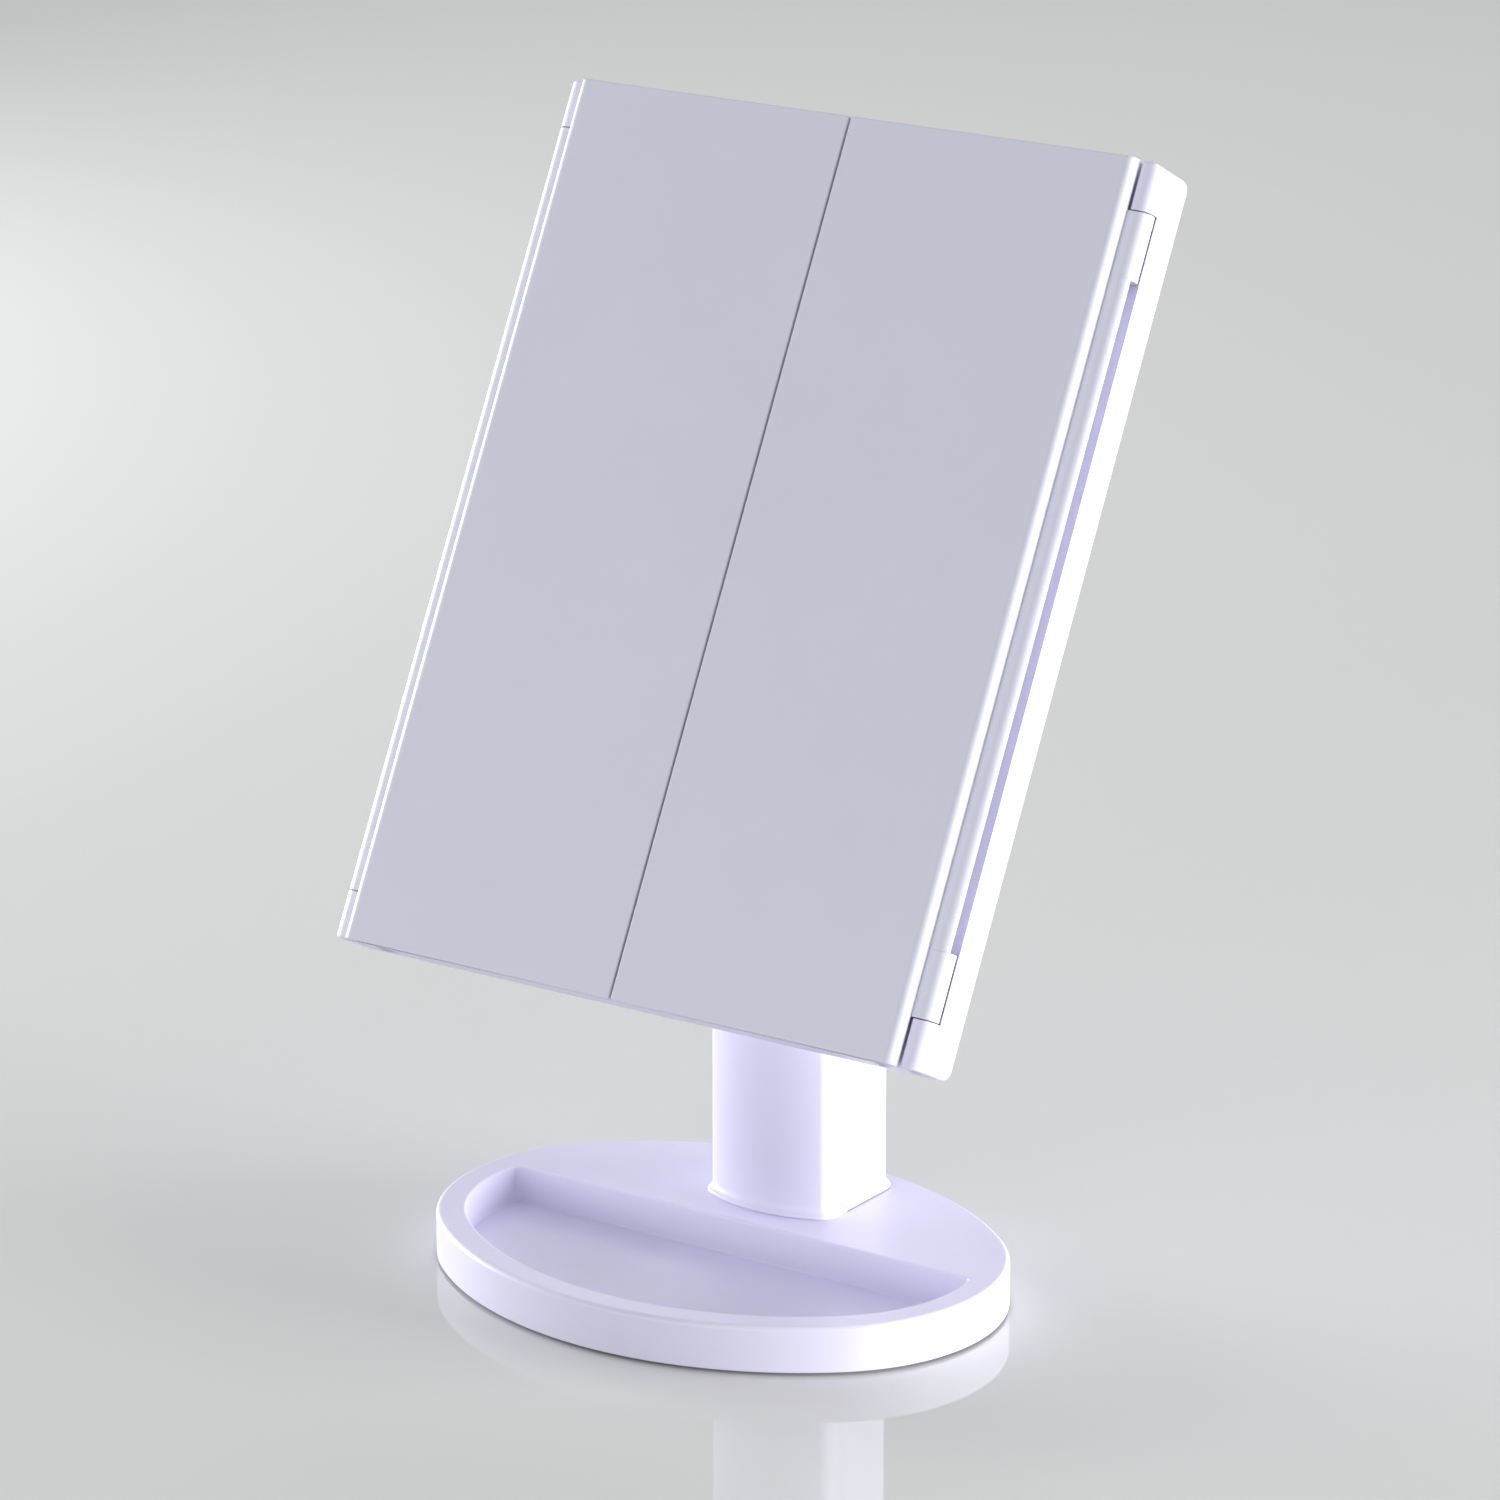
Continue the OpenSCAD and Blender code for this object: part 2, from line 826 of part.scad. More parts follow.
module tilt_axle() {
    color("silver")
        on_axle()
            union() {
                translate([0, 0, -stem_w / 2 + cap_t])
                    cylinder(r = cap_r - 0.8, h = ear_bore_depth - cap_t);
                translate([0, 0, -stem_w / 2 + cap_t])
                    cylinder(r = axle_r, h = stem_w - 2 * cap_t - 0.2);
            }
}

module axle_nut() {
    color("silver")
        on_axle()
            translate([0, 0, stem_w / 2 - ear_bore_depth + 0.8])
                difference() {
                    cylinder(r = cap_r - 0.4, h = ear_bore_depth - cap_t - 1, $fn = 6);
                    translate([0, 0, -1])
                        cylinder(r = axle_r, h = 10, $fn = 48);
                }
}

module disc_spring() {
    color("silver")
        on_axle()
            translate([0, 0, stem_w / 2 - ear_bore_depth])
                difference() {
                    cylinder(r = cap_r - 0.6, h = 0.8);
                    translate([0, 0, -1])
                        cylinder(r = axle_r, h = 4);
                }
}

module friction_washers() {
    color("ivory")
        both_sides()
            on_axle()
                translate([0, 0, ear_gap - washer_t])
                    difference() {
                        cylinder(r = arm_r - 0.4, h = washer_t);
                        translate([0, 0, -1])
                            cylinder(r = axle_r, h = 4);
                    }
}

module axle_caps() {
    color("white")
        both_sides()
            on_axle()
                translate([0, 0, stem_w / 2 - cap_t])
                    cylinder(r = cap_r - 0.1, h = cap_t);
}

// ---------------------------------------------------------------- head

module at_bracket_screws() {
    both_sides()
        for (dz = [-bracket_screw_dz, bracket_screw_dz])
            translate([bracket_screw_x, 0, axis_up + dz])
                rotate([-90, 0, 0])
                    children();
}

module head_bracket() {
    web = 2 * arm_r;
    color("white")
        on_head()
            difference() {
                union() {
                    translate([-bracket_w / 2, back_y, axis_up - bracket_h / 2])
                        cube([bracket_w, bracket_t, bracket_h]);
                    translate([-arm_w / 2, back_y, axis_up - web / 2])
                        cube([arm_w, axis_off, web]);
                    translate([0, back_y + axis_off, axis_up])
                        rotate([0, 90, 0])
                            cylinder(r = arm_r, h = arm_w, center = true);
                }
                translate([0, back_y + axis_off, axis_up])
                    rotate([0, 90, 0])
                        cylinder(r = axle_r + pin_gap, h = arm_w + 2, center = true);
                translate([0, back_y - 1, 0])
                    at_bracket_screws()
                        cylinder(r = screw_r + 0.2, h = 10);
                translate([0, back_y - 1, axis_up])
                    rotate([-90, 0, 0])
                        cylinder(r = 2.2, h = axis_off - axle_r - 1);
            }
}

module bracket_screws() {
    color("silver")
        on_head()
            translate([0, back_y + bracket_t + screw_head_t, 0])
                at_bracket_screws()
                    screw(screw_head_t + bracket_t + back_wall + 3);
}

// Block with rounded rear edges, drawn from the parting line back
module back_block(inset) {
    r = max(back_edge_r - inset, 0.5);
    x = half_w - inset - r;
    z0 = inset + r;
    z1 = head_h - inset - r;
    y = back_y - inset - r;
    translate([-x, parting_y - inset, z0 - r])
        cube([2 * x, y - parting_y + inset, z1 - z0 + 2 * r]);
    translate([-x - r, parting_y - inset, z0])
        cube([2 * (x + r), y - parting_y + inset, z1 - z0]);
    translate([-x, parting_y - inset, z0])
        cube([2 * x, y - parting_y + inset + r, z1 - z0]);
    both_sides() {
        for (z = [z0, z1]) {
            translate([x, parting_y - inset, z])
                rotate([-90, 0, 0])
                    cylinder(r = r, h = y - parting_y + inset);
            translate([x, y, z])
                sphere(r = r);
        }
        translate([x, y, z0])
            cylinder(r = r, h = z1 - z0);
    }
    for (z = [z0, z1])
        translate([-x, y, z])
            rotate([0, 90, 0])
                cylinder(r = r, h = 2 * x);
}

module at_head_screws() {
    both_sides()
        for (z = head_screw_z)
            translate([head_screw_x, 0, z])
                rotate([-90, 0, 0])
                    children();
}

module back_shell() {
    inner_y = back_y - back_wall;
    color("white")
        on_head()
            difference() {
                union() {
                    difference() {
                        back_block(0);
                        back_block(back_wall);
                    }
                    translate([0, parting_y + plate_t, 0])
                        at_head_screws()
                            cylinder(r = 3.6, h = inner_y - parting_y - plate_t + eps);
                    translate([0, inner_y - 3, 0])
                        at_bracket_screws()
                            cylinder(r = 3.6, h = 3 + eps);
                }
                translate([0, parting_y, 0])
                    at_head_screws()
                        cylinder(r = screw_r + 0.2, h = 40);
                translate([0, back_y - screw_head_t - 0.2, 0])
                    at_head_screws()
                        cylinder(r = screw_head_r + 0.2, h = 10);
                translate([0, inner_y - 4, 0])
                    at_bracket_screws()
                        cylinder(r = screw_r, h = 10);
                translate([0, inner_y - 1, axis_up])
                    rotate([-90, 0, 0])
                        cylinder(r = 2.2, h = 10);
                for (i = [-5:5])
                    translate([5 * i - 1, inner_y - 1, head_h - 34])
                        cube([2, 10, 14]);
            }
}

// Section of a knuckle: round outside, square towards the door
module knuckle_section() {
    nick = 0.8;
    x0 = door_edge_x + move_gap;
    translate([hinge_x, hinge_y])
        circle(r = barrel_r);
    translate([x0 + nick, hinge_y - barrel_r])
        square([hinge_x - x0 - nick, barrel_r + 2]);
    translate([x0, hinge_y - barrel_r + nick])
        square([hinge_x - x0, barrel_r + 2]);
    translate([x0 + nick, hinge_y - barrel_r + nick])
        circle(r = nick);
    translate([x0, hinge_y])
        square([half_w - x0, parting_y - hinge_y]);
}

module front_frame() {
    color("white")
        on_head()
            difference() {
                union() {
                    translate([-half_w, frame_y, 0])
                        cube([head_w, frame_t, head_h]);
                    both_sides()
                        for (z = [0, head_h - knuckle_len])
                            translate([0, 0, z])
                                linear_extrude(knuckle_len)
                                    knuckle_section();
                }
                translate([-glass_half_w - glass_gap, frame_y - 1, rail_h - glass_gap])
                    cube([2 * (glass_half_w + glass_gap), 1 + glass_gap + glass_t,
                        head_h - 2 * (rail_h - glass_gap)]);
                translate([-glass_half_w + ledge, frame_y - 1, rail_h + ledge])
                    cube([2 * (glass_half_w - ledge), 20, head_h - 2 * (rail_h + ledge)]);
                both_sides()
                    translate([hinge_x, hinge_y, knuckle_len])
                        cylinder(r = pocket_r, h = head_h - 2 * knuckle_len);
                both_sides()
                    translate([hinge_x, frame_y - 1, knuckle_len])
                        cube([10, hinge_y - frame_y + 1, head_h - 2 * knuckle_len]);
                both_sides()
                    translate([hinge_x, hinge_y, -1])
                        cylinder(r = pin_r, h = knuckle_len + 2);
                both_sides()
                    translate([hinge_x, hinge_y, head_h - knuckle_len - 1])
                        cylinder(r = pin_r, h = knuckle_len + 2);
                translate([0, frame_y + 2, 0])
                    at_head_screws()
                        cylinder(r = screw_r, h = 40);
            }
}

module head_screws() {
    color("silver")
        on_head()
            translate([0, back_y - 0.2, 0])
                at_head_screws()
                    screw(back_t + 3);
}

module centre_mirror() {
    color("lightsteelblue")
        on_head()
            translate([-glass_half_w, glass_y, rail_h])
                cube([2 * glass_half_w, glass_t, head_h - 2 * rail_h]);
}

module at_lights() {
    for (i = [0:side_leds - 1])
        for (x = [-led_x, led_x])
            translate([x, 0, led_low + led_side_pitch * i])
                rotate([-90, 0, 0])
                    children();
    for (i = [0:top_leds - 1])
        translate([led_top_pitch * (i - (top_leds - 1) / 2), 0, led_top_z])
            rotate([-90, 0, 0])
                children();
}

module light_windows() {
    color("ivory")
        on_head()
            translate([0, glass_y + glass_t, 0])
                at_lights()
                    cylinder(r = window_r, h = window_t);
}

module leds() {
    color("khaki")
        on_head()
            translate([0, led_y, 0])
                at_lights()
                    translate([-1.4, -1.75, 0])
                        cube([2.8, 3.5, led_t]);
}

module side_led_boards() {
    color("white")
        on_head()
            for (x = [-led_x, led_x])
                translate([x - led_board_w / 2, led_board_y, led_low - 8])
                    cube([led_board_w, board_t, led_high - led_low + 16]);
}

module top_led_board() {
    w = led_top_pitch * (top_leds - 1) + 16;
    color("white")
        on_head()
            translate([-w / 2, led_board_y, led_top_z - led_board_w / 2])
                cube([w, board_t, led_board_w]);
}

module inner_plate() {
    color("gainsboro")
        on_head()
            difference() {
                union() {
                    translate([-plate_half_w, parting_y, plate_margin])
                        cube([2 * plate_half_w, plate_t, head_h - 2 * plate_margin]);
                    for (x = [-board_w / 2 + 4, board_w / 2 - 4])
                        for (z = [board_z + 4, board_z + board_h - 4])
                            translate([x, parting_y + plate_t - eps, z])
                                rotate([-90, 0, 0])
                                    cylinder(r = 2, h = standoff_h);
                }
                translate([-4, parting_y - 1, board_z - 8])
                    cube([8, 10, 4]);
            }
}

module control_board() {
    color("green")
        on_head()
            union() {
                translate([-board_w / 2, board_y - eps, board_z])
                    cube([board_w, board_t, board_h]);
                translate([-8, board_y + board_t - 2 * eps, board_z + 12])
                    cube([6, 1.4, 6]);
                translate([6, board_y + board_t - 2 * eps, board_z + 10])
                    cube([10, 1.6, 5]);
            }
}

module touch_sensor() {
    color("orange")
        on_head()
            union() {
                translate([0, glass_y + glass_t, rail_h + 15])
                    rotate([-90, 0, 0])
                        cylinder(r = 6, h = 0.4);
                translate([0, glass_y + glass_t, rail_h + 15])
                    rotate([-90, 0, 0])
                        cylinder(r = 2, h = parting_y - glass_y - glass_t);
            }
}

module head_harness() {
    y = board_y + board_t - eps;
    low = axis_up - wire_w / 2;
    color("black")
        on_head()
            union() {
                translate([-wire_w / 2, y, low])
                    cube([wire_w, wire_t, board_z + 4 - low]);
                translate([-wire_w / 2, y, low])
                    cube([wire_w, back_y + 1.8 - y, wire_w]);
            }
}

module hinge_pins() {
    inset = 1.5;
    color("silver")
        on_head()
            both_sides()
                for (z = [inset, head_h - inset - pin_len])
                    translate([hinge_x, hinge_y, z])
                        cylinder(r = pin_r, h = pin_len);
}

// ---------------------------------------------------------------- doors

// Section of a door's skin, with its rolled outer edge
module skin_section() {
    roll_x = door_edge_x - door_edge_r;
    translate([seam / 2, 0])
        square([roll_x - seam / 2, door_skin_t]);
    translate([rim_edge_x, 0])
        square([roll_x - rim_edge_x, door_edge_t]);
    translate([roll_x, door_edge_r])
        square([door_edge_r, door_edge_t - door_edge_r]);
    intersection() {
        translate([roll_x, door_edge_r])
            circle(r = door_edge_r);
        translate([roll_x, 0])
            square([door_edge_r, door_edge_r]);
    }
}

// Section with the leaf, and a barrel that is whole at the ends and cut back between them
module leaf_section(whole) {
    difference() {
        union() {
            skin_section();
            translate([rim_edge_x + move_gap, door_edge_t - eps])
                square([hinge_x - rim_edge_x - move_gap, 2]);
            intersection() {
                translate([hinge_x, hinge_y])
                    circle(r = barrel_r);
                translate([hinge_x - barrel_r, door_edge_t])
                    square([2 * barrel_r, whole ? 2 * barrel_r : barrel_r / 2]);
            }
        }
        translate([hinge_x, hinge_y])
            circle(r = pin_r + pin_gap);
    }
}

module section_run(z0, z1) {
    translate([0, 0, z0])
        linear_extrude(z1 - z0)
            children();
}

// Outer skin of a door with its leaf and hinge barrels
module door_panel() {
    section_run(0, leaf_low)
        skin_section();
    section_run(leaf_low, leaf_low + barrel_len)
        leaf_section(true);
    section_run(leaf_low + barrel_len, leaf_high - barrel_len)
        leaf_section(false);
    section_run(leaf_high - barrel_len, leaf_high)
        leaf_section(true);
    section_run(leaf_high, head_h)
        skin_section();
}

// Inner rim of a door, with a pocket for each mirror; bars are heights that part the pockets
module door_rim_part(bars) {
    stops = concat([door_mirror_low], bars, [door_mirror_high]);
    difference() {
        translate([seam / 2 + 0.4, door_skin_t, 0.4])
            cube([rim_edge_x - seam / 2 - 0.4, door_t - door_skin_t, head_h - 0.8]);
        for (i = [0:len(stops) - 2])
            translate([door_mirror_x0, door_glass_y, stops[i] + (i == 0 ? 0 : door_rim / 2)])
                cube([door_mirror_x1 - door_mirror_x0, door_t,
                    stops[i + 1] - stops[i] - (i == 0 ? 0 : door_rim / 2)
                    - (i == len(stops) - 2 ? 0 : door_rim / 2)]);
    }
}

module door_glass(z0, z1) {
    gap = 0.15;
    translate([door_mirror_x0 + gap, door_glass_y, z0 + gap])
        cube([door_mirror_x1 - door_mirror_x0 - 2 * gap, door_glass_t, z1 - z0 - 2 * gap]);
}

magnifier_split = head_h * 0.45;

module left_door_panel() {
    color("white")
        on_head()
            mirror([1, 0, 0])
                door_panel();
}

module left_door_rim() {
    color("whitesmoke")
        on_head()
            mirror([1, 0, 0])
                door_rim_part([magnifier_split]);
}

module low_magnifier() {
    color("lightsteelblue")
        on_head()
            mirror([1, 0, 0])
                door_glass(door_mirror_low, magnifier_split - door_rim / 2);
}

module high_magnifier() {
    color("lightsteelblue")
        on_head()
            mirror([1, 0, 0])
                door_glass(magnifier_split + door_rim / 2, door_mirror_high);
}

module right_door_panel() {
    color("white")
        on_head()
            door_panel();
}

module right_door_rim() {
    color("whitesmoke")
        on_head()
            door_rim_part([]);
}

module side_mirror() {
    color("lightsteelblue")
        on_head()
            door_glass(door_mirror_low, door_mirror_high);
}

base_shell();
bottom_cover();
anti_slip_pad();
ballast_plate();
cover_screws();
usb_board();
usb_socket();
board_screws();
stem_screws();
stem_front();
stem_back();
stem_joint_screws();
cell_holder();
cells();
cell_springs();
cell_contacts();
battery_door();
switch_body();
switch_knob();
hinge_yoke();
yoke_screws();
tilt_axle();
axle_nut();
disc_spring();
friction_washers();
axle_caps();
head_bracket();
bracket_screws();
back_shell();
front_frame();
head_screws();
centre_mirror();
light_windows();
leds();
side_led_boards();
top_led_board();
inner_plate();
control_board();
touch_sensor();
head_harness();
stem_harness();
hinge_pins();
left_door_panel();
left_door_rim();
low_magnifier();
high_magnifier();
right_door_panel();
right_door_rim();
side_mirror();
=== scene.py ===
# %% [markdown]
# # A folding lighted mirror
# The real object is a make-up mirror of white moulded plastic: a flat head with two doors that fold over
# its glass, a stem that holds the batteries, and an oval base with a tray. The hard parts already have
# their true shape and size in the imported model, so this lesson starts by loading them as a fixed frame.
# The pieces that catch the light are then built again as smooth surfaces that lie where the frame says.

# %% Load the frame
import json
import math

import bpy
import numpy as np
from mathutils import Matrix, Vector


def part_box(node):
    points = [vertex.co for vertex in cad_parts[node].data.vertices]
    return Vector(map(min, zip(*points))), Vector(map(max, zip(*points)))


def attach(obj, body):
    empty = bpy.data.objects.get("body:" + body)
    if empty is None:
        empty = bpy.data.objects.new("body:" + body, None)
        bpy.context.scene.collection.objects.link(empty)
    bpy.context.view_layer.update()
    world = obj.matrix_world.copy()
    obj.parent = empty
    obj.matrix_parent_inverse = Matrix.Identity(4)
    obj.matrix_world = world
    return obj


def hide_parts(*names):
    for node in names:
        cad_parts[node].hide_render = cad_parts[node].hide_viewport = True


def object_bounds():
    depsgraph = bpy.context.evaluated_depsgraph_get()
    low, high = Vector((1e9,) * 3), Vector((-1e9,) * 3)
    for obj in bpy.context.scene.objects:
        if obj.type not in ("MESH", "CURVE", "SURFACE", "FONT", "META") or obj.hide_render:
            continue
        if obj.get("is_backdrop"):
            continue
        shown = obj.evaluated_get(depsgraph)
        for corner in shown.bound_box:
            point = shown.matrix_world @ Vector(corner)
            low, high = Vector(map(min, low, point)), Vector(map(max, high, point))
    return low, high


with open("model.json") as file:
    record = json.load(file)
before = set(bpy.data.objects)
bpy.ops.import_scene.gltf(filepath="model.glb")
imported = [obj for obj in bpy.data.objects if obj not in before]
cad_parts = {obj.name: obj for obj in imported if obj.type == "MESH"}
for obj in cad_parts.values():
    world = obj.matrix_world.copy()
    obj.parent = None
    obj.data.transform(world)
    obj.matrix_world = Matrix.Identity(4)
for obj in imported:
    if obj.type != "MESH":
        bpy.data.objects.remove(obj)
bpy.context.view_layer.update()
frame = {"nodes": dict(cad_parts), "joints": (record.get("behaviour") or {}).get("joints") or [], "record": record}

MM = 0.001
joints = {joint["name"]: joint for joint in frame["joints"]}
scene = bpy.context.scene

# %% [markdown]
# ## The camera
# A long lens far away keeps the doors' edges nearly parallel. The camera stands to the right of the
# mirror and looks down on it a little, so the head's right side shows.

# %% Camera
camera_data = bpy.data.cameras.new("product_camera")
camera_data.lens = 161.0
camera_data.sensor_width = 36.0
camera_data.clip_end = 60.0
camera = bpy.data.objects.new("product_camera", camera_data)
camera.location = (0.91397, -1.31813, 0.64383)
camera.rotation_euler = (math.radians(72.623), 0.0, math.radians(34.466))
scene.collection.objects.link(camera)
scene.camera = camera
print("camera distance", round(camera.location.length, 3), "m")

# %% [markdown]
# ## Helpers for node trees
# A material here is a short chain of nodes. One helper feeds a node's inputs, and one adds a node and
# feeds it. Two more start a node group and place it, which is how an effect is shared between materials:
# the group is built once, and each material places it with its own values. The last starts a material.

# %% Node helpers
def feed(tree, node, inputs):
    """Sets a node's inputs: an output socket is linked, and anything else becomes the input's value."""
    for key, value in inputs.items():
        if isinstance(value, bpy.types.NodeSocket):
            tree.links.new(value, node.inputs[key])
        else:
            node.inputs[key].default_value = value
    return node


def add(tree, kind, inputs=None, **settings):
    """Adds one shader node, with settings such as operation="ADD" and values or links for its inputs."""
    made = tree.nodes.new("ShaderNode" + kind)
    for key, value in settings.items():
        setattr(made, key, value)
    return feed(tree, made, inputs or {})


def start_group(name, inputs, outputs):
    """Starts a node group. inputs is name: (socket type, value) and outputs is name: socket type."""
    group = bpy.data.node_groups.new(name, "ShaderNodeTree")
    for label, (kind, value) in inputs.items():
        made = group.interface.new_socket(name=label, in_out="INPUT", socket_type="NodeSocket" + kind)
        if value is not None:
            made.default_value = value
    for label, kind in outputs.items():
        group.interface.new_socket(name=label, in_out="OUTPUT", socket_type="NodeSocket" + kind)
    return group, group.nodes.new("NodeGroupInput"), group.nodes.new("NodeGroupOutput")


def place(tree, group, values):
    """Places a node group in a material, with its own values or links."""
    made = tree.nodes.new("ShaderNodeGroup")
    made.node_tree = group
    return feed(tree, made, values)


def new_material(name):
    """A material with its node tree, its Principled shader and the object's own coordinates."""
    made = bpy.data.materials.new(name)
    made.use_nodes = True
    tree = made.node_tree
    return made, tree, tree.nodes["Principled BSDF"], add(tree, "TexCoord").outputs["Object"]


# %% [markdown]
# ## Shared effects
# Moulded plastic is never one flat colour. The melt cools unevenly, so its tone drifts slowly over a
# part. The mould's steel leaves a very fine grain. Fingers leave a faint haze, where the gloss is lower.
# One group makes these three from noise at three scales. A second lightens and polishes the edges, where
# handling rubs them: it compares the true normal with one that is rounded over the edge. A third lays a
# trace of dust on faces that look up.

# %% Group: moulded skin
skin_group, g_in, g_out = start_group(
    "moulded_skin",
    {"Coordinates": ("Vector", None), "Colour": ("Color", (0.8, 0.8, 0.8, 1)),
     "Deep Colour": ("Color", (0.7, 0.7, 0.7, 1)), "Gloss": ("Float", 0.3), "Haze": ("Float", 0.08),
     "Grain Scale": ("Float", 2600.0), "Drift": ("Float", 0.5)},
    {"Colour": "Color", "Roughness": "Float", "Height": "Float"},
)
drift = add(skin_group, "TexNoise", {"Vector": g_in.outputs["Coordinates"], "Scale": 17.0, "Detail": 3.0})
drift_mask = add(skin_group, "MapRange", {0: drift.outputs["Fac"], 1: 0.35, 2: 0.7, 3: 0.0, 4: 1.0})
drift_share = add(skin_group, "Math", {0: drift_mask.outputs[0], 1: g_in.outputs["Drift"]},
                  operation="MULTIPLY")
tone = add(skin_group, "Mix", {0: drift_share.outputs[0], 6: g_in.outputs["Colour"],
                               7: g_in.outputs["Deep Colour"]}, data_type="RGBA")
smear = add(skin_group, "TexNoise", {"Vector": g_in.outputs["Coordinates"], "Scale": 62.0, "Detail": 5.0,
                                     "Distortion": 1.4})
smear_mask = add(skin_group, "MapRange", {0: smear.outputs["Fac"], 1: 0.45, 2: 0.75, 3: 0.0, 4: 1.0})
smear_share = add(skin_group, "Math", {0: smear_mask.outputs[0], 1: g_in.outputs["Haze"]},
                  operation="MULTIPLY")
gloss = add(skin_group, "Math", {0: smear_share.outputs[0], 1: g_in.outputs["Gloss"]}, operation="ADD")
grain = add(skin_group, "TexNoise", {"Vector": g_in.outputs["Coordinates"], "Detail": 2.0,
                                     "Roughness": 0.6, "Scale": g_in.outputs["Grain Scale"]})
feed(skin_group, g_out, {"Colour": tone.outputs[2], "Roughness": gloss.outputs[0],
                         "Height": grain.outputs["Fac"]})
print("group", skin_group.name, "with", len(skin_group.nodes), "nodes")

# %% Group: handled edges
edge_group, g_in, g_out = start_group(
    "handled_edges",
    {"Rounded": ("Vector", None), "Colour": ("Color", (0.8, 0.8, 0.8, 1)), "Roughness": ("Float", 0.3),
     "Edge Colour": ("Color", (0.9, 0.9, 0.9, 1)), "Amount": ("Float", 0.5)},
    {"Colour": "Color", "Roughness": "Float"},
)
true_normal = add(edge_group, "NewGeometry")
agree = add(edge_group, "VectorMath", {0: g_in.outputs["Rounded"], 1: true_normal.outputs["Normal"]},
            operation="DOT_PRODUCT")
edge = add(edge_group, "MapRange", {0: agree.outputs["Value"], 1: 0.99, 2: 0.8, 3: 0.0, 4: 1.0})
edge_share = add(edge_group, "Math", {0: edge.outputs[0], 1: g_in.outputs["Amount"]}, operation="MULTIPLY")
edge_tone = add(edge_group, "Mix", {0: edge_share.outputs[0], 6: g_in.outputs["Colour"],
                                    7: g_in.outputs["Edge Colour"]}, data_type="RGBA")
polish = add(edge_group, "Math", {0: edge_share.outputs[0], 1: 0.12}, operation="MULTIPLY")
smoother = add(edge_group, "Math", {0: g_in.outputs["Roughness"], 1: polish.outputs[0]},
               operation="SUBTRACT")
feed(edge_group, g_out, {"Colour": edge_tone.outputs[2], "Roughness": smoother.outputs[0]})
print("group", edge_group.name, "with", len(edge_group.nodes), "nodes")

# %% Group: settled dust
dust_group, g_in, g_out = start_group(
    "settled_dust",
    {"Coordinates": ("Vector", None), "Colour": ("Color", (0.8, 0.8, 0.8, 1)),
     "Roughness": ("Float", 0.3), "Amount": ("Float", 0.05)},
    {"Colour": "Color", "Roughness": "Float"},
)
facing = add(dust_group, "SeparateXYZ", {0: add(dust_group, "NewGeometry").outputs["Normal"]})
upward = add(dust_group, "MapRange", {0: facing.outputs["Z"], 1: 0.3, 2: 0.95, 3: 0.0, 4: 1.0})
specks = add(dust_group, "TexNoise", {"Vector": g_in.outputs["Coordinates"], "Scale": 900.0,
                                      "Detail": 3.0})
speck_mask = add(dust_group, "MapRange", {0: specks.outputs["Fac"], 1: 0.5, 2: 0.68, 3: 0.25, 4: 1.0})
settled = add(dust_group, "Math", {0: upward.outputs[0], 1: speck_mask.outputs[0]}, operation="MULTIPLY")
dust_share = add(dust_group, "Math", {0: settled.outputs[0], 1: g_in.outputs["Amount"]},
                 operation="MULTIPLY")
dust_tone = add(dust_group, "Mix", {0: dust_share.outputs[0], 6: g_in.outputs["Colour"],
                                    7: (0.52, 0.50, 0.48, 1)}, data_type="RGBA")
dull = add(dust_group, "Math", {0: dust_share.outputs[0], 1: g_in.outputs["Roughness"]}, operation="ADD")
feed(dust_group, g_out, {"Colour": dust_tone.outputs[2], "Roughness": dull.outputs[0]})
print("group", dust_group.name, "with", len(dust_group.nodes), "nodes")

# %% [markdown]
# ## Plastics and rubber
# Every plastic of this mirror uses the same three groups with its own numbers: the glossy white of the
# shells, the softer white inside the doors, the black of the battery holder, and the grey pad. The
# white leans to lavender, because such plastic is tinted to hide its yellow.

# %% Plastics
def plastic(name, colour, deep, gloss, grain_height, edge_round=0.35, edge_colour=None, haze=0.08,
            dust=0.04, grain_scale=2600.0):
    """A moulded plastic: skin, edges and dust in a chain, and a Principled shader at its end."""
    made, tree, shader, where = new_material(name)
    body = place(tree, skin_group, {"Coordinates": where, "Colour": (*colour, 1), "Deep Colour": (*deep, 1),
                                    "Gloss": gloss, "Haze": haze, "Grain Scale": grain_scale})
    rounded = add(tree, "Bevel", {"Radius": edge_round * MM}, samples=6)
    handled = place(tree, edge_group, {"Rounded": rounded.outputs[0], "Colour": body.outputs["Colour"],
                                       "Roughness": body.outputs["Roughness"],
                                       "Edge Colour": (*(edge_colour or colour), 1), "Amount": 0.6})
    dusty = place(tree, dust_group, {"Coordinates": where, "Colour": handled.outputs["Colour"],
                                     "Roughness": handled.outputs["Roughness"], "Amount": dust})
    bump = add(tree, "Bump", {"Strength": 0.35, "Distance": grain_height * MM,
                              "Height": body.outputs["Height"], "Normal": rounded.outputs[0]})
    feed(tree, shader, {"Base Color": dusty.outputs["Colour"], "Roughness": dusty.outputs["Roughness"],
                        "Normal": bump.outputs[0], "IOR": 1.5})
    return made


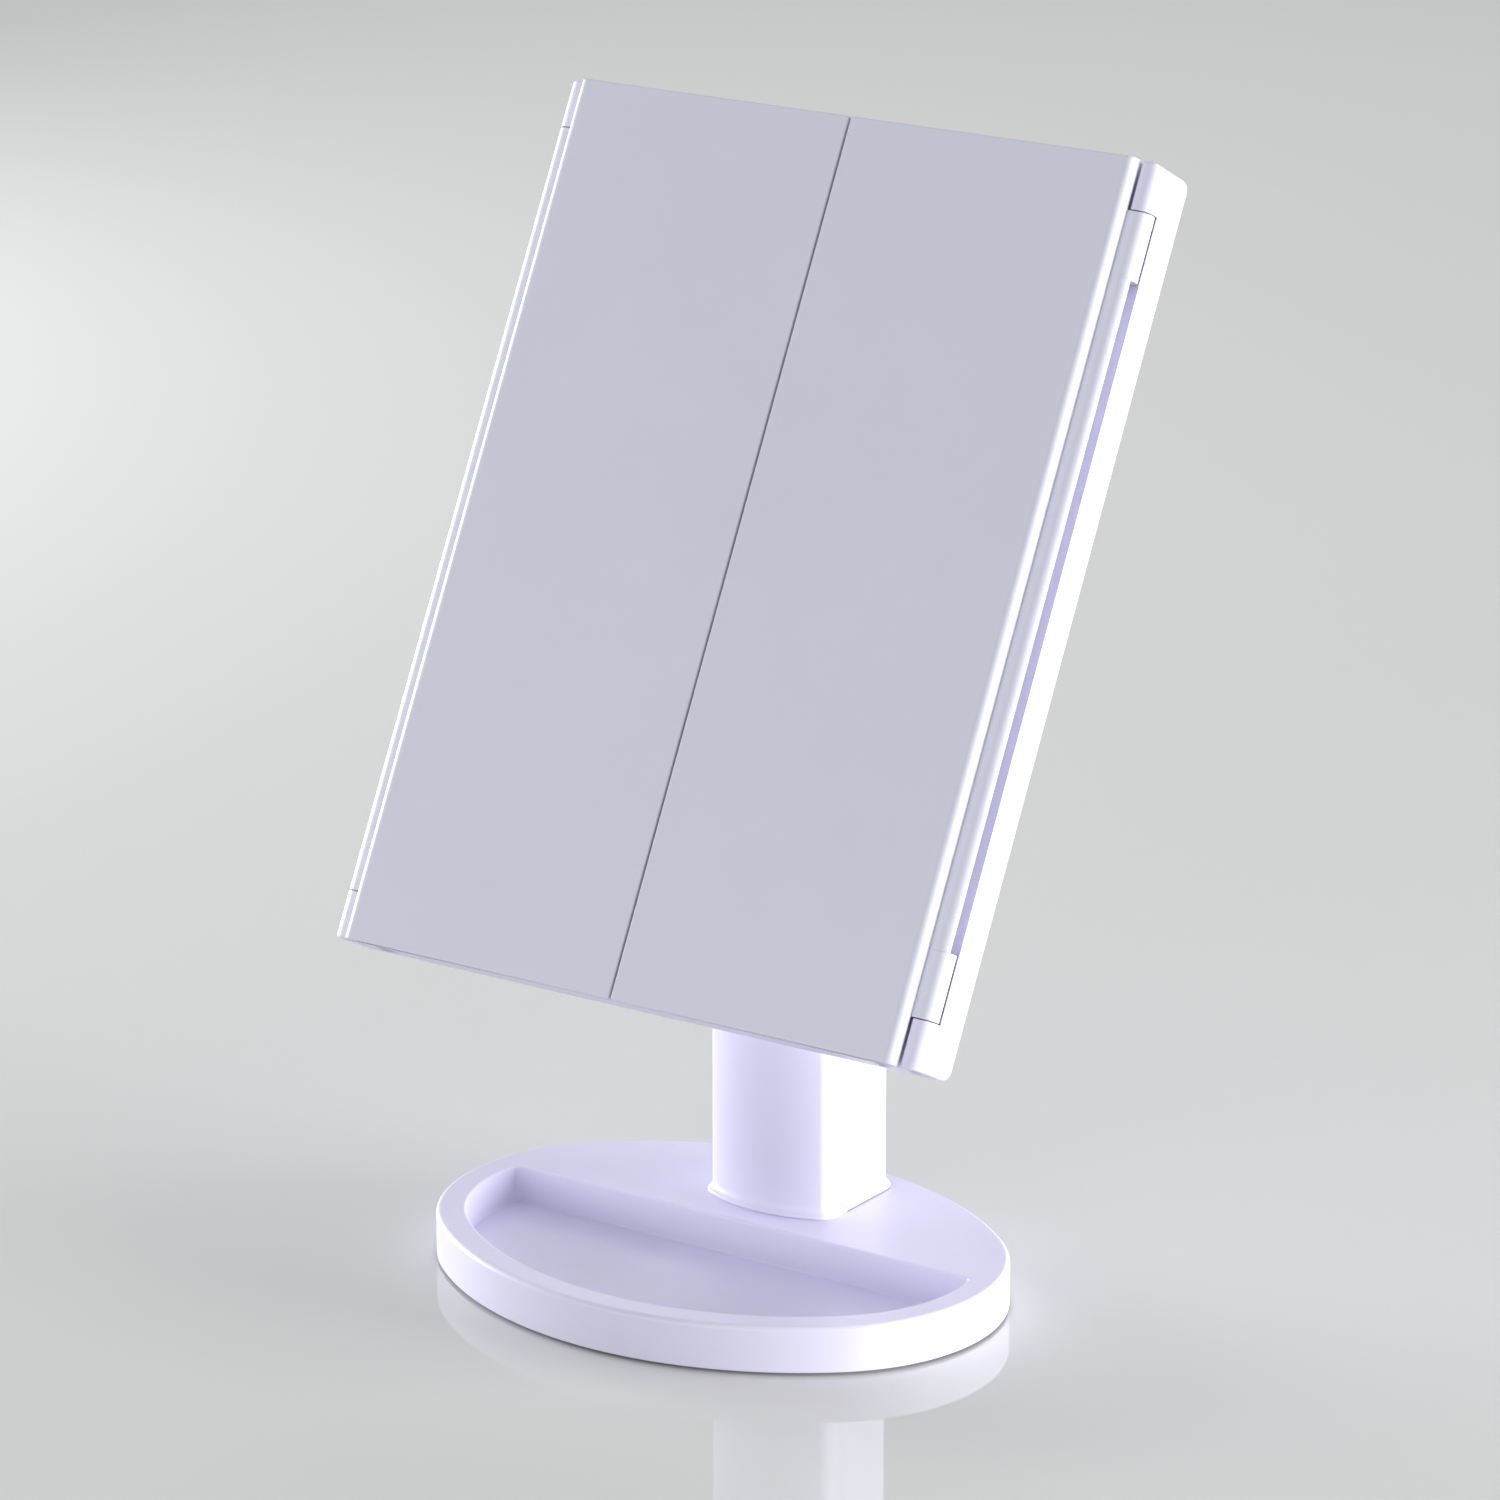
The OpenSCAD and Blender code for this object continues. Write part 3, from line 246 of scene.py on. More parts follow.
materials = {
    "gloss_white": plastic("gloss_white", (0.700, 0.680, 0.830), (0.670, 0.650, 0.800), 0.34, 0.012,
                           edge_colour=(0.78, 0.77, 0.88)),
    # door_white is the shells' white with painted shade: darker, for the doors' front faces.
    "door_white": plastic("door_white", (0.660, 0.665, 0.770), (0.635, 0.640, 0.745), 0.40, 0.02,
                          edge_colour=(0.78, 0.77, 0.88)),
    "soft_white": plastic("soft_white", (0.690, 0.680, 0.790), (0.650, 0.640, 0.750), 0.52, 0.03),
    "dark_plastic": plastic("dark_plastic", (0.022, 0.022, 0.025), (0.035, 0.034, 0.036), 0.48, 0.03,
                            edge_colour=(0.10, 0.10, 0.10), dust=0.08),
    "rubber_pad": plastic("rubber_pad", (0.060, 0.060, 0.064), (0.085, 0.083, 0.084), 0.82, 0.12,
                          edge_colour=(0.14, 0.14, 0.14), grain_scale=1400.0, dust=0.12),
    "washer_nylon": plastic("washer_nylon", (0.72, 0.69, 0.58), (0.66, 0.62, 0.50), 0.42, 0.02),
    "wire_pvc": plastic("wire_pvc", (0.018, 0.018, 0.018), (0.03, 0.03, 0.03), 0.45, 0.02, haze=0.15),
    "board_white": plastic("board_white", (0.76, 0.76, 0.73), (0.70, 0.70, 0.66), 0.30, 0.01),
}
print("plastics", sorted(materials))

# %% [markdown]
# ## Metals
# Screws, the axle and the pins are turned steel with zinc on it: fine rings and streaks break up the
# gloss, and the zinc's tone is uneven. The streaks come from noise that is stretched along one axis.
# The ballast is rolled plate, rougher and mottled. The springs and contacts are bright nickel.

# %% Metals
def metal(name, colour, deep, gloss, stretch, streak_height, blotch=60.0, edge_round=0.15):
    """A metal with streaks: noise stretched by the three factors varies its gloss, tone and height."""
    made, tree, shader, where = new_material(name)
    drawn = add(tree, "Mapping", {"Vector": where, "Scale": stretch})
    streaks = add(tree, "TexNoise", {"Vector": drawn.outputs[0], "Scale": 1.0, "Detail": 4.0})
    blotches = add(tree, "TexNoise", {"Vector": where, "Scale": blotch, "Detail": 4.0})
    tone_mix = add(tree, "Mix", {0: blotches.outputs["Fac"], 6: (*colour, 1), 7: (*deep, 1)},
                   data_type="RGBA")
    rough = add(tree, "MapRange", {0: streaks.outputs["Fac"], 1: 0.2, 2: 0.8, 3: gloss - 0.08,
                                   4: gloss + 0.10})
    rounded = add(tree, "Bevel", {"Radius": edge_round * MM}, samples=6)
    handled = place(tree, edge_group, {"Rounded": rounded.outputs[0], "Colour": tone_mix.outputs[2],
                                       "Roughness": rough.outputs[0],
                                       "Edge Colour": (0.80, 0.80, 0.80, 1), "Amount": 0.5})
    bump = add(tree, "Bump", {"Strength": 0.3, "Distance": streak_height * MM,
                              "Height": streaks.outputs["Fac"], "Normal": rounded.outputs[0]})
    feed(tree, shader, {"Base Color": handled.outputs["Colour"], "Roughness": handled.outputs["Roughness"],
                        "Normal": bump.outputs[0], "Metallic": 1.0})
    return made


materials["steel"] = metal("steel", (0.58, 0.58, 0.60), (0.47, 0.47, 0.50), 0.28, (900, 900, 2600), 0.01)
materials["ballast_steel"] = metal("ballast_steel", (0.20, 0.20, 0.21), (0.12, 0.115, 0.11), 0.50,
                                   (120, 2200, 900), 0.03, blotch=35.0)
materials["contact_nickel"] = metal("contact_nickel", (0.70, 0.68, 0.62), (0.60, 0.58, 0.52), 0.20,
                                    (1800, 300, 1800), 0.006)
materials["copper_pad"] = metal("copper_pad", (0.78, 0.48, 0.30), (0.62, 0.36, 0.22), 0.30,
                                (1500, 1500, 400), 0.006)
print("metals", ["steel", "ballast_steel", "contact_nickel", "copper_pad"])

# %% [markdown]
# ## Mirrors, lights and circuit boards
# A mirror is glass with silver behind it, so it is made as a smooth metal under a clear coat. What makes
# it look real is a faint haze of wiped cleaner, which only changes the gloss. The frosted windows are
# milky plastic with a fine etched grain. The boards' solder mask is green over copper tracks, which show
# as a slightly raised, lighter pattern on a square grid.

# %% Mirrors
def mirror_material(name, colour, haze, wave=0.0):
    """Silvered glass: a smooth metal, with wiping streaks in its gloss."""
    made, tree, shader, where = new_material(name)
    wiped = add(tree, "Mapping", {"Vector": where, "Scale": (22.0, 60.0, 90.0),
                                  "Rotation": (0.0, 0.5, 0.0)})
    wiping = add(tree, "TexNoise", {"Vector": wiped.outputs[0], "Scale": 1.0, "Detail": 5.0,
                                    "Distortion": 0.8})
    rough = add(tree, "MapRange", {0: wiping.outputs["Fac"], 1: 0.45, 2: 0.8, 3: 0.012, 4: 0.012 + haze})
    tint = add(tree, "Mix", {0: wiping.outputs["Fac"], 6: (*colour, 1),
                             7: (colour[0] * 0.97, colour[1] * 0.98, colour[2] * 0.98, 1)},
               data_type="RGBA")
    if wave:
        ripple = add(tree, "TexNoise", {"Vector": where, "Scale": 9.0, "Detail": 1.0})
        bump = add(tree, "Bump", {"Strength": 1.0, "Distance": wave * MM, "Height": ripple.outputs["Fac"]})
        feed(tree, shader, {"Normal": bump.outputs[0]})
    feed(tree, shader, {"Base Color": tint.outputs[2], "Roughness": rough.outputs[0], "Metallic": 1.0,
                        "Coat Weight": 0.3, "Coat Roughness": 0.03})
    return made


materials["mirror_glass"] = mirror_material("mirror_glass", (0.86, 0.88, 0.885), 0.05)
materials["magnifier_glass"] = mirror_material("magnifier_glass", (0.85, 0.87, 0.885), 0.07, wave=0.35)
print("mirrors", ["mirror_glass", "magnifier_glass"])

# %% Frosted windows and light chips
materials["frosted_window"] = plastic("frosted_window", (0.88, 0.87, 0.83), (0.84, 0.83, 0.78), 0.55, 0.02,
                                      edge_round=0.1, grain_scale=5200.0, dust=0.0)
materials["led_phosphor"] = plastic("led_phosphor", (0.82, 0.66, 0.16), (0.86, 0.74, 0.34), 0.38, 0.02,
                                    edge_round=0.08, edge_colour=(0.9, 0.9, 0.86), grain_scale=4000.0)


# %% Circuit board
def circuit_board(name):
    """Green solder mask over copper tracks: cells of a brick pattern stand for the tracks' grid."""
    made, tree, shader, where = new_material(name)
    turned = add(tree, "Mapping", {"Vector": where, "Rotation": (math.radians(62.5), 0.0, 0.0)})
    tracks = add(tree, "TexBrick", {"Vector": turned.outputs[0], "Color1": (0.010, 0.110, 0.045, 1),
                                    "Color2": (0.012, 0.125, 0.052, 1), "Mortar": (0.020, 0.190, 0.080, 1),
                                    "Scale": 60.0, "Mortar Size": 0.03, "Brick Width": 0.36,
                                    "Row Height": 0.16})
    pads = add(tree, "TexVoronoi", {"Vector": turned.outputs[0], "Scale": 260.0, "Randomness": 0.35})
    pad_mask = add(tree, "MapRange", {0: pads.outputs["Distance"], 1: 0.20, 2: 0.17, 3: 0.0, 4: 1.0})
    tinned = add(tree, "Mix", {0: pad_mask.outputs[0], 6: tracks.outputs["Color"],
                               7: (0.55, 0.54, 0.50, 1)}, data_type="RGBA")
    rough = add(tree, "MapRange", {0: pad_mask.outputs[0], 1: 0.0, 2: 1.0, 3: 0.28, 4: 0.45})
    bump = add(tree, "Bump", {"Strength": 0.4, "Distance": 0.03 * MM, "Height": tracks.outputs["Fac"]})
    feed(tree, shader, {"Base Color": tinned.outputs[2], "Roughness": rough.outputs[0],
                        "Normal": bump.outputs[0]})
    return made


materials["board_green"] = circuit_board("board_green")


# %% Battery sleeve
def cell_sleeve(name, low, high):
    """A printed sleeve in two plain bands, black below and gold above, with a thin line between them."""
    made, tree, shader, where = new_material(name)
    height = add(tree, "SeparateXYZ", {0: where})
    up_share = add(tree, "MapRange", {0: height.outputs["Z"], 1: low, 2: high, 3: 0.0, 4: 1.0})
    bands = add(tree, "ValToRGB", {0: up_share.outputs[0]})
    ramp = bands.color_ramp
    ramp.interpolation = "CONSTANT"
    ramp.elements[0].color = (0.020, 0.020, 0.022, 1)
    ramp.elements[1].position = 0.66
    ramp.elements[1].color = (0.62, 0.58, 0.50, 1)
    for spot, colour in ((0.68, (0.52, 0.27, 0.055, 1)), (0.955, (0.60, 0.59, 0.56, 1))):
        ramp.elements.new(spot).color = colour
    scuff = add(tree, "TexNoise", {"Vector": where, "Scale": 420.0, "Detail": 4.0})
    rough = add(tree, "MapRange", {0: scuff.outputs["Fac"], 1: 0.3, 2: 0.7, 3: 0.22, 4: 0.38})
    feed(tree, shader, {"Base Color": bands.outputs["Color"], "Roughness": rough.outputs[0],
                        "Metallic": 0.35})
    return made


cell_low, cell_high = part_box("cells")
materials["cell_jacket"] = cell_sleeve("cell_jacket", cell_low.z, cell_high.z)
print("all materials", len(materials))

# %% [markdown]
# ## Dress the carried-over nodes
# The imported record names a material slot for each node. Each node's object takes the material of its
# slot, so the finish always follows the record. The door skins get a darker and slightly rougher white
# than the shells: the darker colour is painted shade on the doors' front faces.

# %% Materials on the nodes
record = frame["record"]
slot_of = {part["node"]: part["material_slot"] for part in record["subparts"]}
for name, node in frame["nodes"].items():
    node.data.materials.clear()
    node.data.materials.append(materials[slot_of[name]])
print("dressed", len(slot_of), "nodes in", len(set(slot_of.values())), "finishes")

# %% [markdown]
# ## How the smooth pieces are worked out
# Nearly every part of this mirror is a rounded outline carried along a straight path. The outline is a
# chain of arcs, with straight lines between them. Each of its points keeps its outward normal, so the
# whole outline can be drawn in or let out by sliding every point along its normal. Drawing it in along a
# quarter circle near an end rounds that end off, exactly as a mould maker would break the edge.

# %% Outlines and rings
def arc(cx, cy, r, start, end, steps=6):
    """Points on a circle, c + r (cos a, sin a), each with its normal. An arc turned backwards is hollow,
    so its normals point to its centre."""
    a = np.radians(np.linspace(start, end, steps + 1))
    out = np.stack([np.cos(a), np.sin(a)], axis=1)
    side = 1.0 if end > start else -1.0
    return np.concatenate([np.array([[cx, cy]]) + r * out, side * out], axis=1)


def outline(*arcs):
    """A closed outline as a chain of arcs, anticlockwise: columns are two coordinates and the normal."""
    return np.concatenate(arcs)


def box_outline(x0, y0, x1, y1, r, steps=4):
    """A rectangle whose four corners are arcs of radius r."""
    return outline(arc(x0 + r, y0 + r, r, 180, 270, steps), arc(x1 - r, y0 + r, r, 270, 360, steps),
                   arc(x1 - r, y1 - r, r, 0, 90, steps), arc(x0 + r, y1 - r, r, 90, 180, steps))


def rounded_ends(low, high, r, steps=4):
    """Stations along the path as rows of (height, inset): a quarter circle at each end."""
    a = np.linspace(0, np.pi / 2, steps + 1)
    first = np.stack([low + r * (1 - np.cos(a)), r * (1 - np.sin(a))], axis=1)
    last = np.stack([high - r * (1 - np.cos(a[::-1])), r * (1 - np.sin(a[::-1]))], axis=1)
    return np.concatenate([first, last])


def carry(section, stations):
    """Rings of points: the section, drawn in by each station's inset, at each station's height."""
    flat = section[None, :, :2] - section[None, :, 2:4] * stations[:, 1, None, None]
    height = np.broadcast_to(stations[:, 0, None, None], flat.shape[:2] + (1,))
    return np.concatenate([flat, height], axis=2)


def tube(rings):
    """Vertices and faces of a stack of closed rings: a quad between each pair of neighbours on two rings,
    and one flat face on each end."""
    count, around = rings.shape[:2]
    row = np.arange(count - 1)[:, None] * around
    here = np.arange(around)[None, :]
    there = (here + 1) % around
    quads = np.stack([row + here, row + there, row + around + there, row + around + here], axis=-1)
    faces = quads.reshape(-1, 4).tolist()
    faces.append(np.arange(around)[::-1].tolist())
    faces.append((np.arange(around) + (count - 1) * around).tolist())
    return rings.reshape(-1, 3), faces


# %% Making a mesh
SHARP = math.radians(38)
MIRROR = np.array([-1.0, 1.0, 1.0])


def joined(shells):
    """The points and faces of several shells as one list each."""
    points, faces, start = [], [], 0
    for vertices, polygons in shells:
        points.append(vertices)
        faces.extend([[start + index for index in polygon] for polygon in polygons])
        start += len(vertices)
    return np.concatenate(points), faces


def smooth(mesh):
    """Shades a mesh smoothly, and keeps its sharp edges sharp."""
    mesh.polygons.foreach_set("use_smooth", np.ones(len(mesh.polygons), bool))
    mesh.set_sharp_from_angle(angle=SHARP)


def even_normals(piece):
    """Lets each wide face set the normals along its border, so narrow rounded edges shade evenly."""
    even = piece.modifiers.new("even_normals", "WEIGHTED_NORMAL")
    even.weight = 80
    even.keep_sharp = True


def make_piece(name, shells, material, body, nodes, mirrored=False, weighted=True):
    """Joins closed shells in metres into one object at the origin, and gives it its finish and body."""
    points, faces = joined(shells)
    if mirrored:
        points = points * MIRROR
        faces = [polygon[::-1] for polygon in faces]
    mesh = bpy.data.meshes.new(name)
    mesh.from_pydata(points.tolist(), [], faces)
    mesh.materials.append(material)
    mesh.validate()
    mesh.update()
    smooth(mesh)
    piece = bpy.data.objects.new(name, mesh)
    scene.collection.objects.link(piece)
    if weighted:
        even_normals(piece)
    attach(piece, body)
    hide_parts(*nodes)
    print(name, len(mesh.polygons), "faces")
    return piece


# %% [markdown]
# ## The head's own frame
# The head leans back, so its parts are easiest to describe upright and then turned. The door hinge's
# joint gives both the lean, from its axis, and a point to hold on to, from its position. Across is X,
# depth grows to the back from the doors' front, and height runs up along the head.

# %% Head frame
HEAD_W, HEAD_H = 178.0, 229.6
BARREL_R = 3.2
DOOR_EDGE_T, SKIN_T = 3.4, 1.8
FRAME_FRONT, PARTING, HEAD_BACK = 6.0, 12.2, 22.0
HINGE_X = HEAD_W / 2 - BARREL_R
HINGE_D = DOOR_EDGE_T + BARREL_R
POCKET_R = BARREL_R + 0.6
GLASS_X = HEAD_W / 2 - (2 * POCKET_R + 5.4)
up = np.array(joints["right_door_hinge"]["axis"], float)
up /= np.linalg.norm(up)
deep = np.array([0.0, up[2], -up[1]])
hinge_point = np.array(joints["right_door_hinge"]["pos_m"], float)
head_origin = hinge_point - np.array([HINGE_X * MM, 0, 0]) - deep * HINGE_D * MM - up * HEAD_H / 2 * MM
turn = np.stack([np.array([1.0, 0.0, 0.0]), deep, up])


def on_head(shell):
    """Turns a shell from the head's frame, in millimetres, to the row frame, in metres."""
    vertices, faces = shell
    return vertices * MM @ turn + head_origin, faces


print("head leans back", round(math.degrees(math.atan2(up[1], up[2])), 2), "degrees")

# %% [markdown]
# ## Door skins
# Each door is a thin plate whose long outer edge is rolled over, with a leaf behind that edge that ends
# in the hinge barrel. The barrel is whole near both ends and cut back between them. The plate, the leaf
# and the barrels are separate outlines carried up the head. Their edges are broken by a third of a
# millimetre, which draws the fine light line along the seam where the doors meet.

# %% Door skins
SEAM = 0.6
PLATE_X = HEAD_W / 2 - 1.75 * BARREL_R
RIM_X = PLATE_X - DOOR_EDGE_T
ROLL_R = 2.4
BREAK = 0.35
LEAF_LOW, LEAF_HIGH = 12.7, HEAD_H - 12.7
BARREL_LEN = 17.0

plate_section = outline(
    arc(SEAM / 2 + BREAK, BREAK, BREAK, 180, 270, 4),
    arc(PLATE_X - ROLL_R, ROLL_R, ROLL_R, 270, 360, 14),
    arc(PLATE_X - 0.3, DOOR_EDGE_T - 0.3, 0.3, 0, 90, 3),
    arc(RIM_X + 0.2, DOOR_EDGE_T - 0.2, 0.2, 90, 180, 3),
    arc(RIM_X - 0.2, SKIN_T + 0.2, 0.2, 360, 270, 3),
    arc(SEAM / 2 + 0.2, SKIN_T - 0.2, 0.2, 90, 180, 3),
)
leaf_back = DOOR_EDGE_T + 2.0
meet = math.degrees(math.asin((HINGE_D - leaf_back) / BARREL_R))
cut_depth = HINGE_D - DOOR_EDGE_T - BARREL_R / 2
cut = math.degrees(math.asin(cut_depth / BARREL_R))
barrel_section = outline(
    arc(RIM_X + 0.6, DOOR_EDGE_T + 0.1, 0.2, 180, 270, 3),
    arc(HINGE_X, HINGE_D, BARREL_R, 270, 540 + meet, 34),
    arc(RIM_X + 0.6, leaf_back - 0.2, 0.2, 90, 180, 3),
)
cut_section = outline(
    arc(RIM_X + 0.6, DOOR_EDGE_T + 0.1, 0.2, 180, 270, 3),
    arc(HINGE_X, HINGE_D, BARREL_R, 270, 360 - cut - 3, 12),
    arc(HINGE_X + BARREL_R * math.cos(math.radians(cut)) - 0.32, DOOR_EDGE_T + BARREL_R / 2 - 0.2, 0.2,
        10, 90, 4),
    arc(HINGE_X - 0.2, leaf_back - 0.2, 0.2, 0, 90, 3),
    arc(RIM_X + 0.6, leaf_back - 0.2, 0.2, 90, 180, 3),
)


def door_skin_shells():
    """The plate over the whole height, and three lengths of leaf: whole barrel, cut back, whole barrel."""
    low, high = LEAF_LOW + BARREL_LEN, LEAF_HIGH - BARREL_LEN
    square = np.array([[low, 0.0], [high, 0.0]])
    return [
        on_head(tube(carry(plate_section, rounded_ends(0.0, HEAD_H, BREAK)))),
        on_head(tube(carry(barrel_section, rounded_ends(LEAF_LOW, low, 0.18, 3)))),
        on_head(tube(carry(cut_section, square))),
        on_head(tube(carry(barrel_section, rounded_ends(high, LEAF_HIGH, 0.18, 3)))),
    ]


# The door skins take door_white, whose darker colour is painted shade.
make_piece("right_door_skin", door_skin_shells(), materials["door_white"], "right_door",
           ["right_door_panel"])
make_piece("left_door_skin", door_skin_shells(), materials["door_white"], "left_door",
           ["left_door_panel"], mirrored=True)

# %% [markdown]
# ## The base
# The base is an oval drawn with four arcs that meet without a corner, and its tray is a D that follows
# the oval's front. One sheet makes the whole shell. Its first parameter goes round, and at each step a
# ray from a point in the tray meets both the D and the oval. Its second parameter goes from the middle
# of the tray's floor out over the rim, down the outer wall, under the foot and back inside to the
# middle of the underside, so the shell has a true wall and is closed.

# %% Oval and tray outlines
def box_in_mm(node):
    """A node's lowest and highest corners in millimetres."""
    return (np.array(corner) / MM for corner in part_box(node))


base_low, base_high = box_in_mm("base_shell")
BASE_W, BASE_D, BASE_H = base_high - base_low
PAD_T = base_low[2]
END_R, WALL, TOP_R = 48.0, 2.2, 1.3
TRAY_RIM, TRAY_DEPTH, TRAY_CORNER = 7.6, 10.0, 1.6
COLLAR_OUT, COLLAR_H = 1.3, 3.0
TRAY_TO_STEM = 8.7
STEM_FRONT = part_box("stem_front")[0].y / MM + COLLAR_OUT
TRAY_BACK = STEM_FRONT - TRAY_TO_STEM
end_x = BASE_W / 2 - END_R
flat = BASE_D / 2 - END_R
side_y = (end_x * end_x - flat * flat) / (2 * flat)
side_r = BASE_D / 2 + side_y
end_turn = math.degrees(math.atan2(side_y, end_x))


def oval_outline(steps=96):
    """Four arcs whose ends share a normal, so the oval and every oval drawn in from it are smooth."""
    return outline(arc(0, side_y, side_r, 180 + end_turn, 360 - end_turn, steps)[:-1],
                   arc(end_x, 0, END_R, -end_turn, end_turn, steps)[:-1],
                   arc(0, -side_y, side_r, end_turn, 180 - end_turn, steps)[:-1],
                   arc(-end_x, 0, END_R, 180 - end_turn, 180 + end_turn, steps)[:-1])


def tray_outline(steps=72):
    """The oval's front drawn in by the rim, closed by a straight back with two small corners."""
    inner_end, inner_side = END_R - TRAY_RIM, side_r - TRAY_RIM
    corner_y = TRAY_BACK - TRAY_CORNER
    corner_turn = math.degrees(math.asin(corner_y / (inner_end - TRAY_CORNER)))
    corner_x = end_x + (inner_end - TRAY_CORNER) * math.cos(math.radians(corner_turn))
    straight = np.linspace(corner_x, -corner_x, steps)[1:-1]
    back = np.stack([straight, np.full(steps - 2, TRAY_BACK), np.zeros(steps - 2), np.ones(steps - 2)], 1)
    return outline(arc(0, side_y, inner_side, 180 + end_turn, 360 - end_turn, steps)[:-1],
                   arc(end_x, 0, inner_end, -end_turn, corner_turn, steps // 2)[:-1],
                   arc(corner_x, corner_y, TRAY_CORNER, corner_turn, 90, 10), back,
                   arc(-corner_x, corner_y, TRAY_CORNER, 90, 180 - corner_turn, 10),
                   arc(-end_x, 0, inner_end, 180 - corner_turn, 180 + end_turn, steps // 2)[1:-1])


def matched_oval(tray, centre):
    """The oval's points on the rays from centre through the tray's points, found by interpolation."""
    oval = oval_outline()
    angle = np.unwrap(np.arctan2(oval[:, 1] - centre[1], oval[:, 0] - centre[0]))
    want = np.arctan2(tray[:, 1] - centre[1], tray[:, 0] - centre[0])
    want = angle[0] + np.mod(want - angle[0], 2 * np.pi)
    angle = np.append(angle, angle[0] + 2 * np.pi)
    looped = np.concatenate([oval, oval[:1]])
    found = np.stack([np.interp(want, angle, looped[:, column]) for column in range(4)], axis=1)
    found[:, 2:] /= np.linalg.norm(found[:, 2:], axis=1, keepdims=True)
    return found


tray_line = tray_outline()
tray_centre = np.array([0.0, -22.0])
oval_line = matched_oval(tray_line, tray_centre)
print("tray back", round(TRAY_BACK, 2), "points round", len(tray_line))


# %% Base shell
def drawn_in(line, inset, height):
    """One ring: the line drawn in by inset, at one height."""
    flat_points = line[:, :2] - line[:, 2:4] * inset
    return np.concatenate([flat_points, np.full((len(line), 1), height)], axis=1)


def quarter(start_inset, start_z, inset_by, z_by, steps, late):
    """Insets and heights along a quarter of an ellipse. late leaves the wall first, else the flat."""
    a = np.linspace(0, np.pi / 2, steps + 1)
    first, second = (1 - np.cos(a), np.sin(a)) if late else (np.sin(a), 1 - np.cos(a))
    return np.stack([start_inset + inset_by * first, start_z + z_by * second], axis=1)


def base_shell_rings():
    """All rings from the tray floor's middle, over the rim and under the foot, to the underside."""
    foot, top = PAD_T, PAD_T + BASE_H
    floor = top - TRAY_DEPTH
    lip, root, toe = 0.6, 0.4, 0.3
    inner = tray_line[:, :2] - tray_centre
    rings = []
    for share in (0.02, 0.3, 0.6, 0.85):
        spot = tray_centre + (inner - tray_line[:, 2:4] * root) * share
        rings.append(np.concatenate([spot, np.full((len(spot), 1), floor)], axis=1))
    for inset, height in quarter(root + 0.25, floor, -root, root, 7, late=False):
        rings.append(drawn_in(tray_line, inset, height))
    for inset, height in quarter(0.0, top - lip, -lip, lip, 6, late=True):
        rings.append(drawn_in(tray_line, inset, height))
    for share in (0.06, 0.5, 0.94):
        near, far = drawn_in(tray_line, -lip, top), drawn_in(oval_line, TOP_R, top)
        rings.append(near * (1 - share) + far * share)
    for inset, height in quarter(TOP_R, top, -TOP_R, -TOP_R, 9, late=False):
        rings.append(drawn_in(oval_line, inset, height))
    for inset, height in quarter(0.0, foot + toe, toe, -toe, 4, late=True):
        rings.append(drawn_in(oval_line, inset, height))
    for inset, height in ((WALL - 0.2, foot), (WALL, foot + 0.2), (WALL, top - WALL)):
        rings.append(drawn_in(oval_line, inset, height))
    for inset, height in ((-WALL, top - WALL), (-WALL, foot)):
        rings.append(drawn_in(tray_line, inset, height))
    for share in (0.6, 0.02):
        spot = tray_centre + inner * share
        rings.append(np.concatenate([spot, np.full((len(spot), 1), foot)], axis=1))
    return np.stack(rings)


def rings_to_shell(rings, flip=False):
    """A tube in millimetres as a shell in metres, turned inside out if its rings run the other way."""
    vertices, faces = tube(rings)
    if flip:
        faces = [face[::-1] for face in faces]
    return vertices * MM, faces


base_piece = make_piece("base_skin", [rings_to_shell(base_shell_rings(), flip=True)],
                        materials["gloss_white"], "stand", ["base_shell"])

# %% [markdown]
# ## Openings in a shell
# A shell is easiest to work out whole. Its openings are cut afterwards with a Boolean modifier and a
# cutter that is removed at once. The result is kept as a plain mesh, so nothing live stays on the piece.

# %% Cutting
def cut_openings(piece, cutters):
    """Cuts all the cutters' shells out of the piece and keeps the result as its mesh."""
    points, faces = joined(cutters)
    mesh = bpy.data.meshes.new("cutter")
    mesh.from_pydata(points.tolist(), [], faces)
    cutter = bpy.data.objects.new("cutter", mesh)
    scene.collection.objects.link(cutter)
    piece.modifiers.clear()
    boolean = piece.modifiers.new("openings", "BOOLEAN")
    boolean.operation = "DIFFERENCE"
    boolean.solver = "EXACT"
    boolean.object = cutter
    bpy.context.view_layer.update()
    result = bpy.data.meshes.new_from_object(piece.evaluated_get(bpy.context.evaluated_depsgraph_get()))
    piece.modifiers.clear()
    old = piece.data
    piece.data = result
    result.name = piece.name
    bpy.data.meshes.remove(old)
    bpy.data.objects.remove(cutter)
    bpy.data.meshes.remove(mesh)
    smooth(result)
    even_normals(piece)
    print(piece.name, "cut,", len(result.polygons), "faces")


def in_metres(shells):
    """Shells in millimetres as shells in metres."""
    return [(vertices * MM, faces) for vertices, faces in shells]


def along_axis(section, low, high, axis):
    """A bar in millimetres: the section carried from low to high along axis 0, 1 or 2."""
    vertices, faces = tube(carry(section, np.array([[low, 0.0], [high, 0.0]])))
    placed = np.empty_like(vertices)
    placed[:, [(axis + 1) % 3, (axis + 2) % 3, axis]] = vertices
    return placed, faces


def box_cutter(low, high, r, axis):
    """A box from corner to corner in millimetres, whose edges along the axis are rounded."""
    a, b = (axis + 1) % 3, (axis + 2) % 3
    return along_axis(box_outline(low[a], low[b], high[a], high[b], r), low[axis], high[axis], axis)


def round_cutter(centre, r, low, high, axis, steps=40):
    """A cylinder in millimetres; centre holds its other two coordinates in order."""
    return along_axis(arc(centre[0], centre[1], r, 0, 360, steps)[:-1], low, high, axis)


